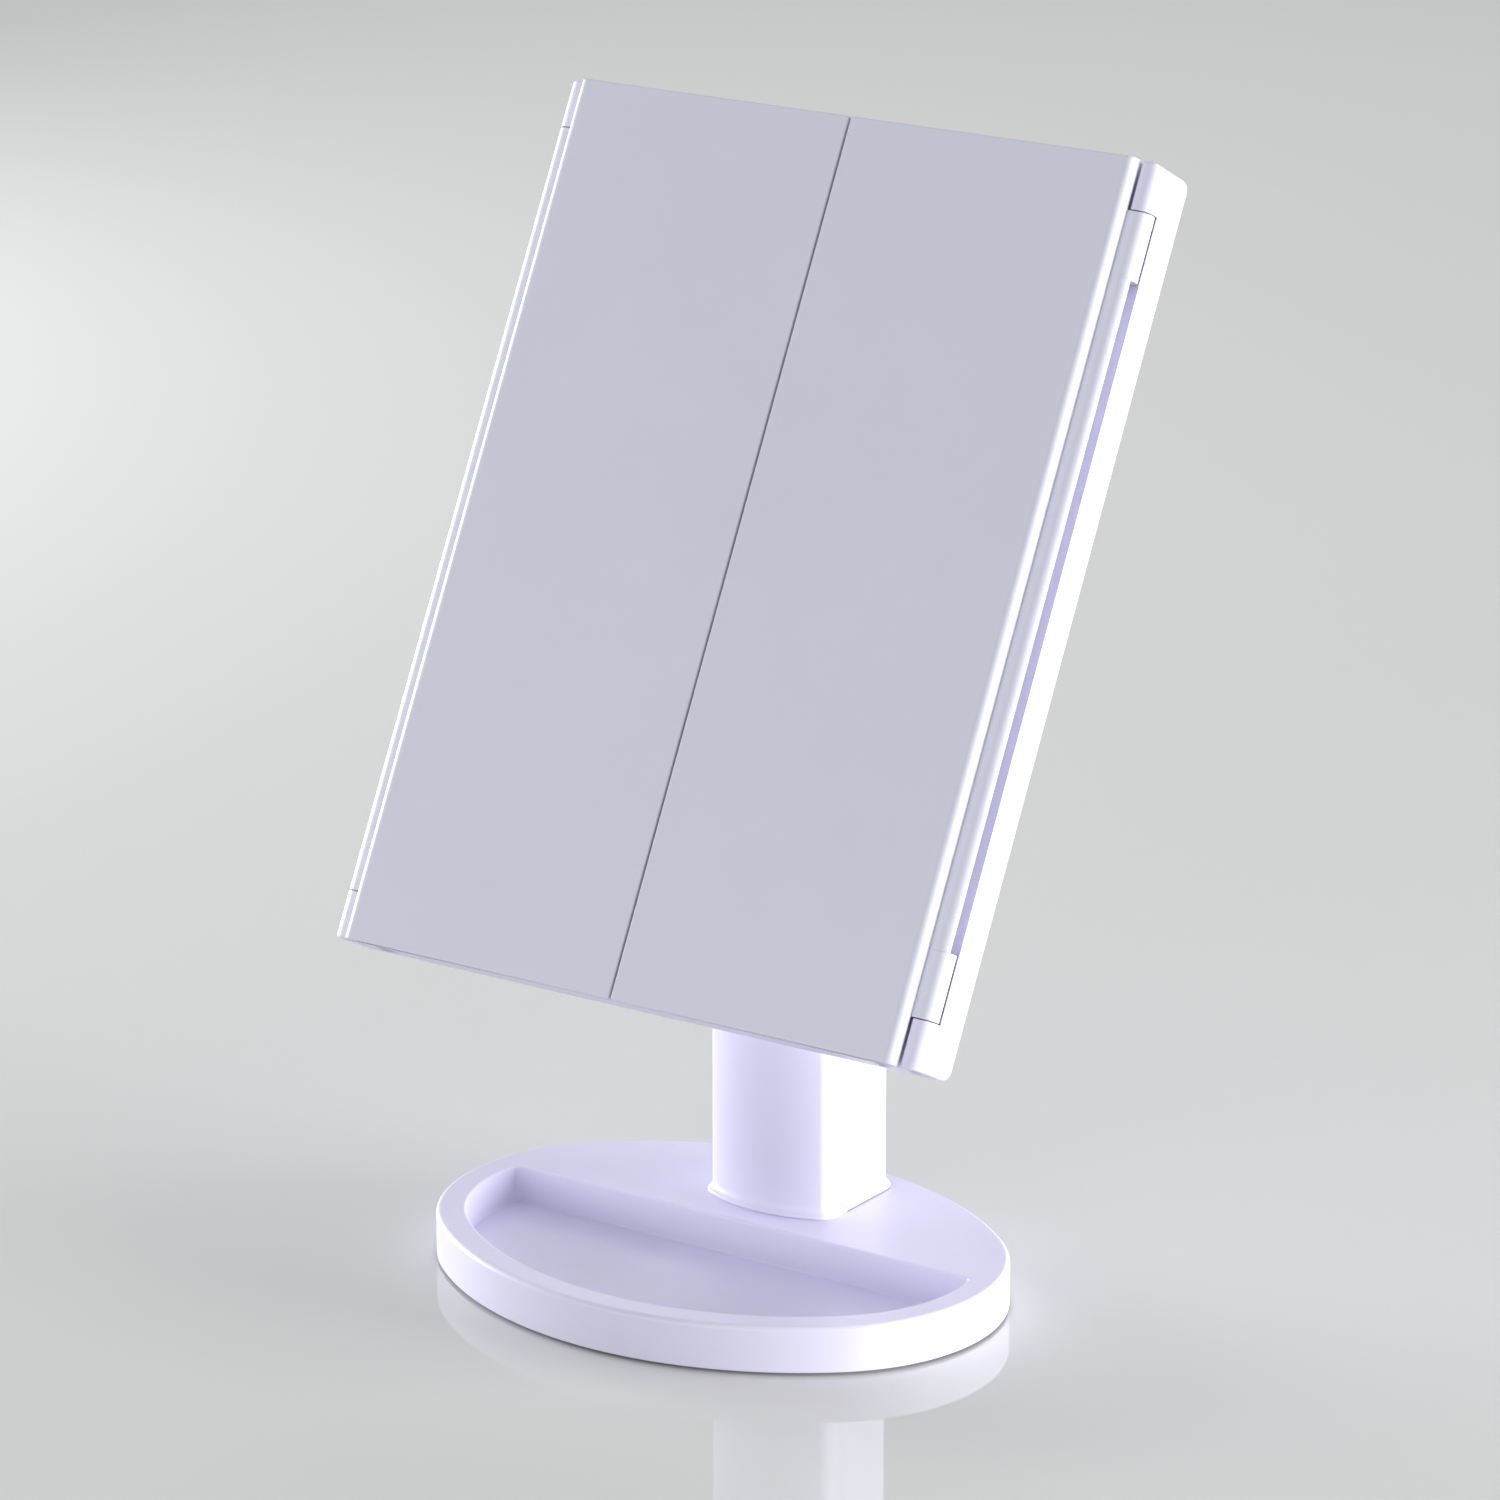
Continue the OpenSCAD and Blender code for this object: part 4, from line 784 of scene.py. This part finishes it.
INLET_PLAY = 0.4
socket_low, socket_high = box_in_mm("usb_socket")
inlet = box_cutter((socket_low[0] - INLET_PLAY, BASE_D / 2 - 6, socket_low[2] - INLET_PLAY),
                   (socket_high[0] + INLET_PLAY, BASE_D / 2 + 5, socket_high[2] + INLET_PLAY), 0.8, 1)
cut_openings(base_piece, in_metres([inlet]))

# %% [markdown]
# ## The stem's two shells
# The stem is a box with a convex front, split across into two moulded halves. A half is a wall of even
# thickness, so its section is the outer line out and the inner line back. Only the outer line moves when
# the collar flares at the foot. The back half sits a quarter of a millimetre higher on the base, which
# gives the little step that such halves show at their parting line.

# %% Stem sections
AXLE_INSET = 1.3
STEM_W = (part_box("tilt_axle")[1].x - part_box("tilt_axle")[0].x) / MM + 2 * AXLE_INSET
STEM_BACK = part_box("stem_back")[1].y / MM - COLLAR_OUT
STEM_SPLIT = STEM_FRONT + 12.0
STEM_WALL, CONVEX_R, CORNER_R, REAR_R = 1.8, 36.0, 4.0, 3.5
base_top = PAD_T + BASE_H
stem_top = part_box("stem_front")[1].z / MM


def stem_corner(t):
    """Where the convex front meets the corner arc, for the line drawn in by t."""
    half, r, rc = STEM_W / 2 - t, CONVEX_R - t, max(CORNER_R - t, 0.4)
    centre = STEM_FRONT + CONVEX_R
    cy = centre - math.sqrt((r - rc) ** 2 - (half - rc) ** 2)
    return half, r, rc, centre, cy, math.degrees(math.atan2(cy - centre, half - rc))


def front_line(t, steps=40):
    """The front half's line from its left end to its right end, drawn in by t."""
    half, r, rc, centre, cy, a = stem_corner(t)
    left = np.array([[-half, STEM_SPLIT, -1.0, 0.0]])
    right = np.array([[half, STEM_SPLIT, 1.0, 0.0]])
    return np.concatenate([left, arc(-(half - rc), cy, rc, 180, 180 - a, 10),
                           arc(0, centre, r, -180 - a, a, steps)[1:-1],
                           arc(half - rc, cy, rc, a, 0, 10), right])


def rear_line(t):
    """The rear half's line from its right end to its left end, drawn in by t."""
    half, rb = STEM_W / 2 - t, max(REAR_R - t, 0.4)
    right = np.array([[half, STEM_SPLIT, 1.0, 0.0]])
    left = np.array([[-half, STEM_SPLIT, -1.0, 0.0]])
    back = STEM_BACK - t - rb
    return np.concatenate([right, arc(half - rb, back, rb, 0, 90, 10), arc(rb - half, back, rb, 90, 180, 10),
                           left])


def half_shell_rings(line, low, step_y):
    """Rings of one half: the outer line let out by the collar's flare, and the inner line unmoved.
    The flare is a bead of one millimetre and a hollow curve from it up to the wall."""
    outer, inner = line(0.0), line(STEM_WALL)[::-1]
    for end in (0, -1):
        outer[end, 1] += step_y
        inner[end, 1] += step_y
    bead = np.linspace(0, np.pi / 2, 5)
    hollow = np.linspace(0, 1, 7)[1:]
    heights = np.concatenate([low + 0.3 * (1 - np.cos(bead)), low + 0.8 + 0.3 * np.sin(bead),
                              low + 1.1 + (COLLAR_H - 1.1) * hollow])
    flare = np.concatenate([COLLAR_OUT - 0.3 * (1 - np.sin(bead)), COLLAR_OUT - 0.3 * (1 - np.cos(bead)),
                            (COLLAR_OUT - 0.3) * (1 - hollow) ** 2.2])
    heights = np.append(heights, [stem_top])
    flare = np.append(flare, [0.0])
    moving = outer[None, :, :2] + outer[None, :, 2:4] * flare[:, None, None]
    still = np.broadcast_to(inner[None, :, :2], (len(heights),) + inner[:, :2].shape)
    flat_points = np.concatenate([moving, still], axis=1)
    height = np.broadcast_to(heights[:, None, None], flat_points.shape[:2] + (1,))
    return np.concatenate([flat_points, height], axis=2)


PARTING_GAP, REAR_LIFT = 0.06, 0.25
front_rings = half_shell_rings(front_line, base_top, -PARTING_GAP)
rear_rings = half_shell_rings(rear_line, base_top + REAR_LIFT, PARTING_GAP)
make_piece("stem_front_skin", [rings_to_shell(front_rings)], materials["gloss_white"], "stand",
           ["stem_front"])
rear_half = make_piece("stem_back_skin", [rings_to_shell(rear_rings)], materials["gloss_white"], "stand",
                       ["stem_back"])

# %% Openings in the stem's back
SCREW_HEAD_R, WELL_R = 2.5, 2.7
DOOR_PLAY = 0.3
bay_low, bay_high = box_in_mm("battery_door")
joint_low, joint_high = box_in_mm("stem_joint_screws")
switch_low, switch_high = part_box("switch_body")
slot_z = (switch_low.z + switch_high.z) / 2 / MM
pillar_x = joint_high[0] - SCREW_HEAD_R
pillar_places = [(x, z) for z in (joint_low[2] + SCREW_HEAD_R, joint_high[2] - SCREW_HEAD_R)
                 for x in (-pillar_x, pillar_x)]
openings = [
    box_cutter((bay_low[0] - DOOR_PLAY, STEM_BACK - 3, bay_low[2] - DOOR_PLAY),
               (bay_high[0] + DOOR_PLAY, STEM_BACK + 5, bay_high[2] + DOOR_PLAY), 0.3, 1),
    box_cutter((-2.4, STEM_BACK - 4, slot_z - 5.0), (2.4, STEM_BACK + 5, slot_z + 5.0), 0.6, 1),
]
for x, z in pillar_places:
    openings.append(round_cutter((z, x), WELL_R, STEM_BACK - 6, STEM_BACK + 5, 1))
cut_openings(rear_half, in_metres(openings))

# %% Pillars behind the screw wells
def across_to_head(shell):
    """Rings drawn as (across, height, depth) become (across, depth, height), which turns them over."""
    vertices, faces = shell
    return vertices[:, [0, 2, 1]], [face[::-1] for face in faces]


def pillar_shell(x, z, steps=32):
    """A round cup along the depth: rings out from the front's middle, back along the outside, over the
    thin lip and down to the well's floor, where the screw's head sits."""
    floor, lip = STEM_SPLIT + 6.0, STEM_BACK - 1.7
    radius = np.array([0.02, 2.8, 2.8, 2.68, 2.68, 0.02])
    depth = np.array([STEM_SPLIT, STEM_SPLIT, lip, lip, floor, floor])
    a = np.linspace(0, 2 * np.pi, steps, endpoint=False)
    ring = np.stack([x + radius[:, None] * np.cos(a), z + radius[:, None] * np.sin(a)], axis=2)
    depths = np.repeat(depth, steps).reshape(len(depth), steps, 1)
    return across_to_head(tube(np.concatenate([ring, depths], axis=2)))


def add_shells(piece, shells):
    """Adds more closed shells to a piece's mesh."""
    mesh = piece.data
    held = np.empty(len(mesh.vertices) * 3)
    mesh.vertices.foreach_get("co", held)
    own = (held.reshape(-1, 3), [list(polygon.vertices) for polygon in mesh.polygons])
    points, faces = joined([own] + shells)
    mesh.clear_geometry()
    mesh.from_pydata(points.tolist(), [], faces)
    mesh.update()
    smooth(mesh)
    print(piece.name, "now has", len(mesh.polygons), "faces")


add_shells(rear_half, in_metres([pillar_shell(x, z) for x, z in pillar_places]))

# %% [markdown]
# ## The back shell of the head
# Seen from behind, the head is a shallow tub with well-rounded rear edges. A rounded rectangle is
# carried back from the parting line and drawn in along a quarter circle at the back, and the same is
# done inside it at the wall's thickness. The cooling slots and the six screw wells are cut afterwards.

# %% Back shell
EDGE_R, TUB_WALL = 4.0, 2.0
HEAD_CORNER_R = 2.2


def tub_rings():
    """Rings of (across, height, depth) from the inner floor's middle out to the lip and over the outside."""
    half, high = HEAD_W / 2, HEAD_H
    a = np.linspace(0, np.pi / 2, 11)
    lip = 0.25
    outside = np.concatenate([
        np.stack([PARTING + lip * (1 - np.cos(a[::2])), lip * (1 - np.sin(a[::2]))], 1),
        np.stack([HEAD_BACK - EDGE_R + EDGE_R * np.sin(a), EDGE_R * (1 - np.cos(a))], 1),
    ])
    inner_r = EDGE_R - TUB_WALL
    inside = np.concatenate([
        np.stack([HEAD_BACK - TUB_WALL - inner_r + inner_r * np.sin(a[::-1]),
                  TUB_WALL + inner_r * (1 - np.cos(a[::-1]))], 1),
        np.array([[PARTING, TUB_WALL]]),
    ])
    rings = []
    for depth, inset in np.concatenate([inside, outside]):
        corner = HEAD_CORNER_R + 0.4 * inset
        line = box_outline(inset - half, inset, half - inset, high - inset, corner, 10)
        rings.append(np.concatenate([line[:, :2], np.full((len(line), 1), depth)], axis=1))
    return np.stack(rings)


tub = make_piece("back_shell_skin", [on_head(across_to_head(tube(tub_rings())))],
                 materials["gloss_white"], "head", ["back_shell"])

# %% Wells and slots in the back shell
well_x = GLASS_X + 2.4
wells = []
for z in (20.0, HEAD_H / 2, HEAD_H - 20.0):
    for x in (-well_x, well_x):
        wells.append(on_head(round_cutter((z, x), WELL_R, HEAD_BACK - 2.0, HEAD_BACK + 3, 1)))
for i in range(-5, 6):
    wells.append(on_head(box_cutter((5.0 * i - 1, HEAD_BACK - 3, HEAD_H - 34),
                                    (5.0 * i + 1, HEAD_BACK + 3, HEAD_H - 20), 0.95, 1)))
cut_openings(tub, wells)

# %% [markdown]
# ## The head's frame and its knuckles
# The frame holds the centre glass, and at each of its four corners a knuckle reaches forward to carry a
# door's pin. A side of the frame is one column with two sections: with the knuckle at both ends, and
# hollowed between them where the door's barrel turns. Both sections have the same number of points, so
# the column simply changes from one to the other at one height. The rails close the frame above and
# below, and each knuckle's end has the small hole that the pin was driven through.

# %% Frame
LEDGE = 3.0
OPENING_X, RECESS_X = GLASS_X - LEDGE, GLASS_X + 0.2
GLASS_BACK = FRAME_FRONT + 2.2
KNUCKLE = 12.4
half = HEAD_W / 2
pocket_start = 180 + math.degrees(math.asin((HINGE_D - FRAME_FRONT) / POCKET_R))
pocket_end = math.degrees(math.acos(BARREL_R / POCKET_R))
pocket_lip = HINGE_D + POCKET_R * math.sin(math.radians(pocket_end))
inner_steps = [
    arc(OPENING_X + 0.2, GLASS_BACK + 0.2, 0.2, 180, 270, 3),
    arc(RECESS_X - 0.1, GLASS_BACK - 0.1, 0.1, 90, 0, 2),
    arc(RECESS_X + 0.3, FRAME_FRONT + 0.3, 0.3, 180, 270, 3),
]
outer_steps = [
    arc(half - 0.12, PARTING - 0.12, 0.12, 0, 90, 3),
    arc(OPENING_X + 0.2, PARTING - 0.2, 0.2, 90, 180, 3),
]
pocket_x = HINGE_X + POCKET_R * math.cos(math.radians(pocket_start))
hollow_section = outline(
    *inner_steps,
    arc(pocket_x - 0.45, FRAME_FRONT + 0.25, 0.25, 270, 350, 4),
    arc(HINGE_X, HINGE_D, POCKET_R, pocket_start - 4, pocket_end + 4, 16),
    arc(half - 0.25, pocket_lip + 0.3, 0.25, 240, 360, 12),
    *outer_steps,
)
nick, gap_x = 0.8, PLATE_X + 0.3
knuckle_section = outline(
    *inner_steps,
    arc(gap_x - 0.3, FRAME_FRONT - 0.3, 0.3, 90, 0, 4),
    arc(gap_x + nick, HINGE_D - BARREL_R + nick, nick, 180, 270, 16),
    arc(HINGE_X, HINGE_D, BARREL_R, 270, 360, 12),
    *outer_steps,
)


def rounded_corner(rings):
    """Holds the width under a circle near both ends, w(z) = half - r + sqrt(r r - (r - z)(r - z)), which
    rounds the head's corners."""
    from_end = np.minimum(np.minimum(rings[..., 2], HEAD_H - rings[..., 2]), HEAD_CORNER_R)
    limit = half - HEAD_CORNER_R + np.sqrt(HEAD_CORNER_R ** 2 - (HEAD_CORNER_R - from_end) ** 2)
    rings[..., 0] = np.minimum(rings[..., 0], limit)
    return rings


def knuckle_shells():
    """The two ends of a column, each a knuckle section with a rounded outer end."""
    ends = rounded_ends(0.0, HEAD_H, 0.4, 4)
    climb = np.stack([np.linspace(0.55, HEAD_CORNER_R, 7), np.zeros(7)], axis=1)
    drop = np.stack([HEAD_H - climb[::-1, 0], np.zeros(7)], axis=1)
    low = np.concatenate([ends[:5], climb, [[KNUCKLE, 0.0]]])
    high = np.concatenate([[[HEAD_H - KNUCKLE, 0.0]], drop, ends[5:]])
    return [tube(rounded_corner(carry(knuckle_section, stations))) for stations in (low, high)]


def rail_shell(low, high, recess_high):
    """A rail across the frame: its stepped section, in (depth, height), carried from side to side."""
    if recess_high:
        section = outline(arc(FRAME_FRONT + 0.3, low + 0.3, 0.3, 180, 270, 3),
                          arc(PARTING - 0.12, low + 0.12, 0.12, 270, 360, 3),
                          arc(PARTING - 0.2, high + LEDGE - 0.2, 0.2, 0, 90, 3),
                          arc(GLASS_BACK + 0.2, high + LEDGE - 0.2, 0.2, 90, 180, 3),
                          arc(GLASS_BACK - 0.1, high - 0.1, 0.1, 360, 270, 2),
                          arc(FRAME_FRONT + 0.3, high - 0.3, 0.3, 90, 180, 3))
    else:
        section = outline(arc(FRAME_FRONT + 0.3, low + 0.3, 0.3, 180, 270, 3),
                          arc(GLASS_BACK - 0.1, low + 0.1, 0.1, 90, 0, 2),
                          arc(GLASS_BACK + 0.2, low - LEDGE + 0.2, 0.2, 180, 270, 3),
                          arc(PARTING - 0.2, low - LEDGE + 0.2, 0.2, 270, 360, 3),
                          arc(PARTING - 0.12, high - 0.12, 0.12, 0, 90, 3),
                          arc(FRAME_FRONT + 0.3, high - 0.3, 0.3, 90, 180, 3))
    reach = RECESS_X + 1.0
    return along_axis(section, -reach, reach, 0)


def both_sides(shells):
    """Each shell and its mirror image across the head's middle."""
    return shells + [(vertices * MIRROR, [face[::-1] for face in faces]) for vertices, faces in shells]


RAIL = 8.0
frame_piece = make_piece("front_frame_skin", [on_head(shell) for shell in both_sides(knuckle_shells())],
                         materials["gloss_white"], "head", ["front_frame"])

# %% Pin holes
pin_holes = []
for low, high in ((-1.0, 1.5), (HEAD_H - 1.5, HEAD_H + 1.0)):
    for x in (-HINGE_X, HINGE_X):
        pin_holes.append(on_head(round_cutter((x, HINGE_D), 1.0, low, high, 2, 24)))
cut_openings(frame_piece, pin_holes)

# %% Columns and rails
column = tube(carry(hollow_section, np.array([[KNUCKLE, 0.0], [HEAD_H - KNUCKLE, 0.0]])))
rails = [rail_shell(0.0, RAIL - 0.2, True), rail_shell(HEAD_H - RAIL + 0.2, HEAD_H, False)]
add_shells(frame_piece, [on_head(shell) for shell in both_sides([column]) + rails])

# %% [markdown]
# ## Light windows
# The mirror's silver is etched away over each light, and a frosted window behind it spreads the light.
# Each window is a shallow dome on a short drum, worked out as one small grid of rings and copied to all
# the lights' places at once. Its face lies three hundredths of a millimetre in front of the silver.

# %% Light windows
LED_X = GLASS_X - 9.0
LED_LOW, LED_HIGH, LED_TOP = 30.0, HEAD_H - 30.0, HEAD_H - 17.0
column_z = np.linspace(LED_LOW, LED_HIGH, 8)
row_x = np.linspace(-44.0, 44.0, 5)
places = [(x, z) for x in (-LED_X, LED_X) for z in column_z] + [(x, LED_TOP) for x in row_x]


def window_shell(steps=40):
    """Rings of one window from its face back: radius 3.2 with a broken front edge, in (x, z, depth)."""
    radius = np.array([0.02, 2.2, 2.9, 3.12, 3.2, 3.2])
    depth = np.array([6.165, 6.165, 6.17, 6.18, 6.22, 9.6])
    a = np.linspace(0, 2 * np.pi, steps, endpoint=False)
    ring = np.stack([np.cos(a), np.sin(a)], 1)
    flat_points = radius[:, None, None] * ring[None]
    depths = np.broadcast_to(depth[:, None, None], (len(depth), steps, 1))
    return np.concatenate([flat_points, depths], axis=2)


one_window = window_shell()
windows = []
for x, z in places:
    windows.append(on_head(across_to_head(tube(one_window + np.array([x, z, 0.0])))))
make_piece("frosted_windows", windows, materials["frosted_window"], "head", ["light_windows"])

# %% [markdown]
# ## Coil springs
# A battery presses on a coil spring that widens towards its foot. Its centre line is a helix whose
# radius shrinks as it climbs, and the wire is a circle carried along that line. The circle's plane is
# set up at each step from the line's direction, so the wire keeps its thickness.

# %% Springs
def spring_shell(centre, low, height, wide, narrow, wire, turns=3.5, steps=150, around=10):
    """A conical helix, (r(t) cos wt, r(t) sin wt, h t), with a circle of the wire's radius round it."""
    t = np.linspace(0, 1, steps)
    a = 2 * np.pi * turns * t
    r = wide + (narrow - wide) * t
    climb = low + wire + (height - 2 * wire) * np.clip((t - 0.12) / 0.76, 0, 1)
    line = np.stack([centre[0] + r * np.cos(a), centre[1] + r * np.sin(a), climb], 1)
    along = np.gradient(line, axis=0)
    along /= np.linalg.norm(along, axis=1, keepdims=True)
    out = np.stack([np.cos(a), np.sin(a), np.zeros(steps)], 1)
    out -= along * np.sum(out * along, axis=1, keepdims=True)
    out /= np.linalg.norm(out, axis=1, keepdims=True)
    side = np.cross(along, out)
    b = np.linspace(0, 2 * np.pi, around, endpoint=False)
    around_wire = np.cos(b)[None, :, None] * out[:, None] + np.sin(b)[None, :, None] * side[:, None]
    return line[:, None] + wire * around_wire


spring_low, spring_high = box_in_mm("cell_springs")
reach = 4.9
springs = []
for x in (spring_low[0] + reach, spring_high[0] - reach):
    for y in (spring_low[1] + reach, spring_high[1] - reach):
        rings = spring_shell((x, y), spring_low[2], spring_high[2] - spring_low[2], 4.4, 3.0, 0.4)
        springs.append(tube(rings))
make_piece("coil_springs", in_metres(springs), materials["contact_nickel"], "stand", ["cell_springs"],
           weighted=False)

# %% [markdown]
# ## The table and the light
# The mirror stands on a pale, glossy table that fills the view and shows a soft reflection of the base.
# Five soft lamps light it. A strong one on the right makes the right-facing sides glow, and a weaker one
# on the left lifts the left edges. A low, wide one in front, a large one overhead, one over the table's
# far side and the pale surroundings fill the rest.

# %% Table
TABLE = 14.0
corners = np.array([[-1, -1, 0], [1, -1, 0], [1, 1, 0], [-1, 1, 0]], float) * TABLE / 2
table_mesh = bpy.data.meshes.new("table")
table_mesh.from_pydata(corners.tolist(), [], [[0, 1, 2, 3]])
table = bpy.data.objects.new("table", table_mesh)
scene.collection.objects.link(table)
table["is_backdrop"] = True
table_material, tree, shader, where = new_material("table_lacquer")
cloud = add(tree, "TexNoise", {"Vector": where, "Scale": 1.2, "Detail": 2.0})
table_tone = add(tree, "Mix", {0: cloud.outputs["Fac"], 6: (0.695, 0.702, 0.688, 1),
                               7: (0.665, 0.670, 0.656, 1)}, data_type="RGBA")
polish_noise = add(tree, "TexNoise", {"Vector": where, "Scale": 9.0, "Detail": 4.0})
table_rough = add(tree, "MapRange", {0: polish_noise.outputs["Fac"], 1: 0.3, 2: 0.7, 3: 0.015, 4: 0.04})
feed(tree, shader, {"Base Color": table_tone.outputs[2], "Roughness": table_rough.outputs[0]})
table_mesh.materials.append(table_material)

# %% Lamps
def lamp(name, location, target, width, height, power, colour=(1.0, 1.0, 1.0)):
    """A rectangular soft light at location that faces target."""
    data = bpy.data.lights.new(name, "AREA")
    data.shape = "RECTANGLE"
    data.size, data.size_y = width, height
    data.energy = power
    data.color = colour
    made = bpy.data.objects.new(name, data)
    aim = np.array(target, float) - np.array(location, float)
    made.location = location
    made.rotation_mode = "QUATERNION"
    made.rotation_quaternion = Vector(aim).to_track_quat("-Z", "Y")
    made.visible_camera = False
    scene.collection.objects.link(made)
    return made


middle = (0.0, 0.0, 0.15)
lamp("right_softbox", (1.42, 0.58, 0.14), middle, 1.1, 0.25, 50.0)
lamp("left_softbox", (-1.45, 0.14, 0.17), middle, 0.8, 0.30, 29.0, (0.96, 0.97, 1.0))
lamp("front_fill", (-0.1, -1.8, 0.28), middle, 1.6, 0.5, 10.5)
lamp("overhead", (0.0, -0.2, 1.9), middle, 1.6, 1.6, 2.5)
lamp("far_table", (-0.8, 1.4, 1.2), (-0.8, 1.4, 0.0), 1.0, 1.0, 5.0)
world = bpy.data.worlds.new("studio")
world.use_nodes = True
feed(world.node_tree, world.node_tree.nodes["Background"],
     {"Color": (0.93, 0.94, 0.95, 1), "Strength": 0.53})
scene.world = world
scene.view_settings.view_transform = "Standard"
scene.view_settings.look = "None"

# %% [markdown]
# ## The finished size
# The finished look must keep the imported size, so the visual box is printed at the end.

# %% Sizes and finish
low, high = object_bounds()
print("visual box", [round(v, 4) for v in high - low])
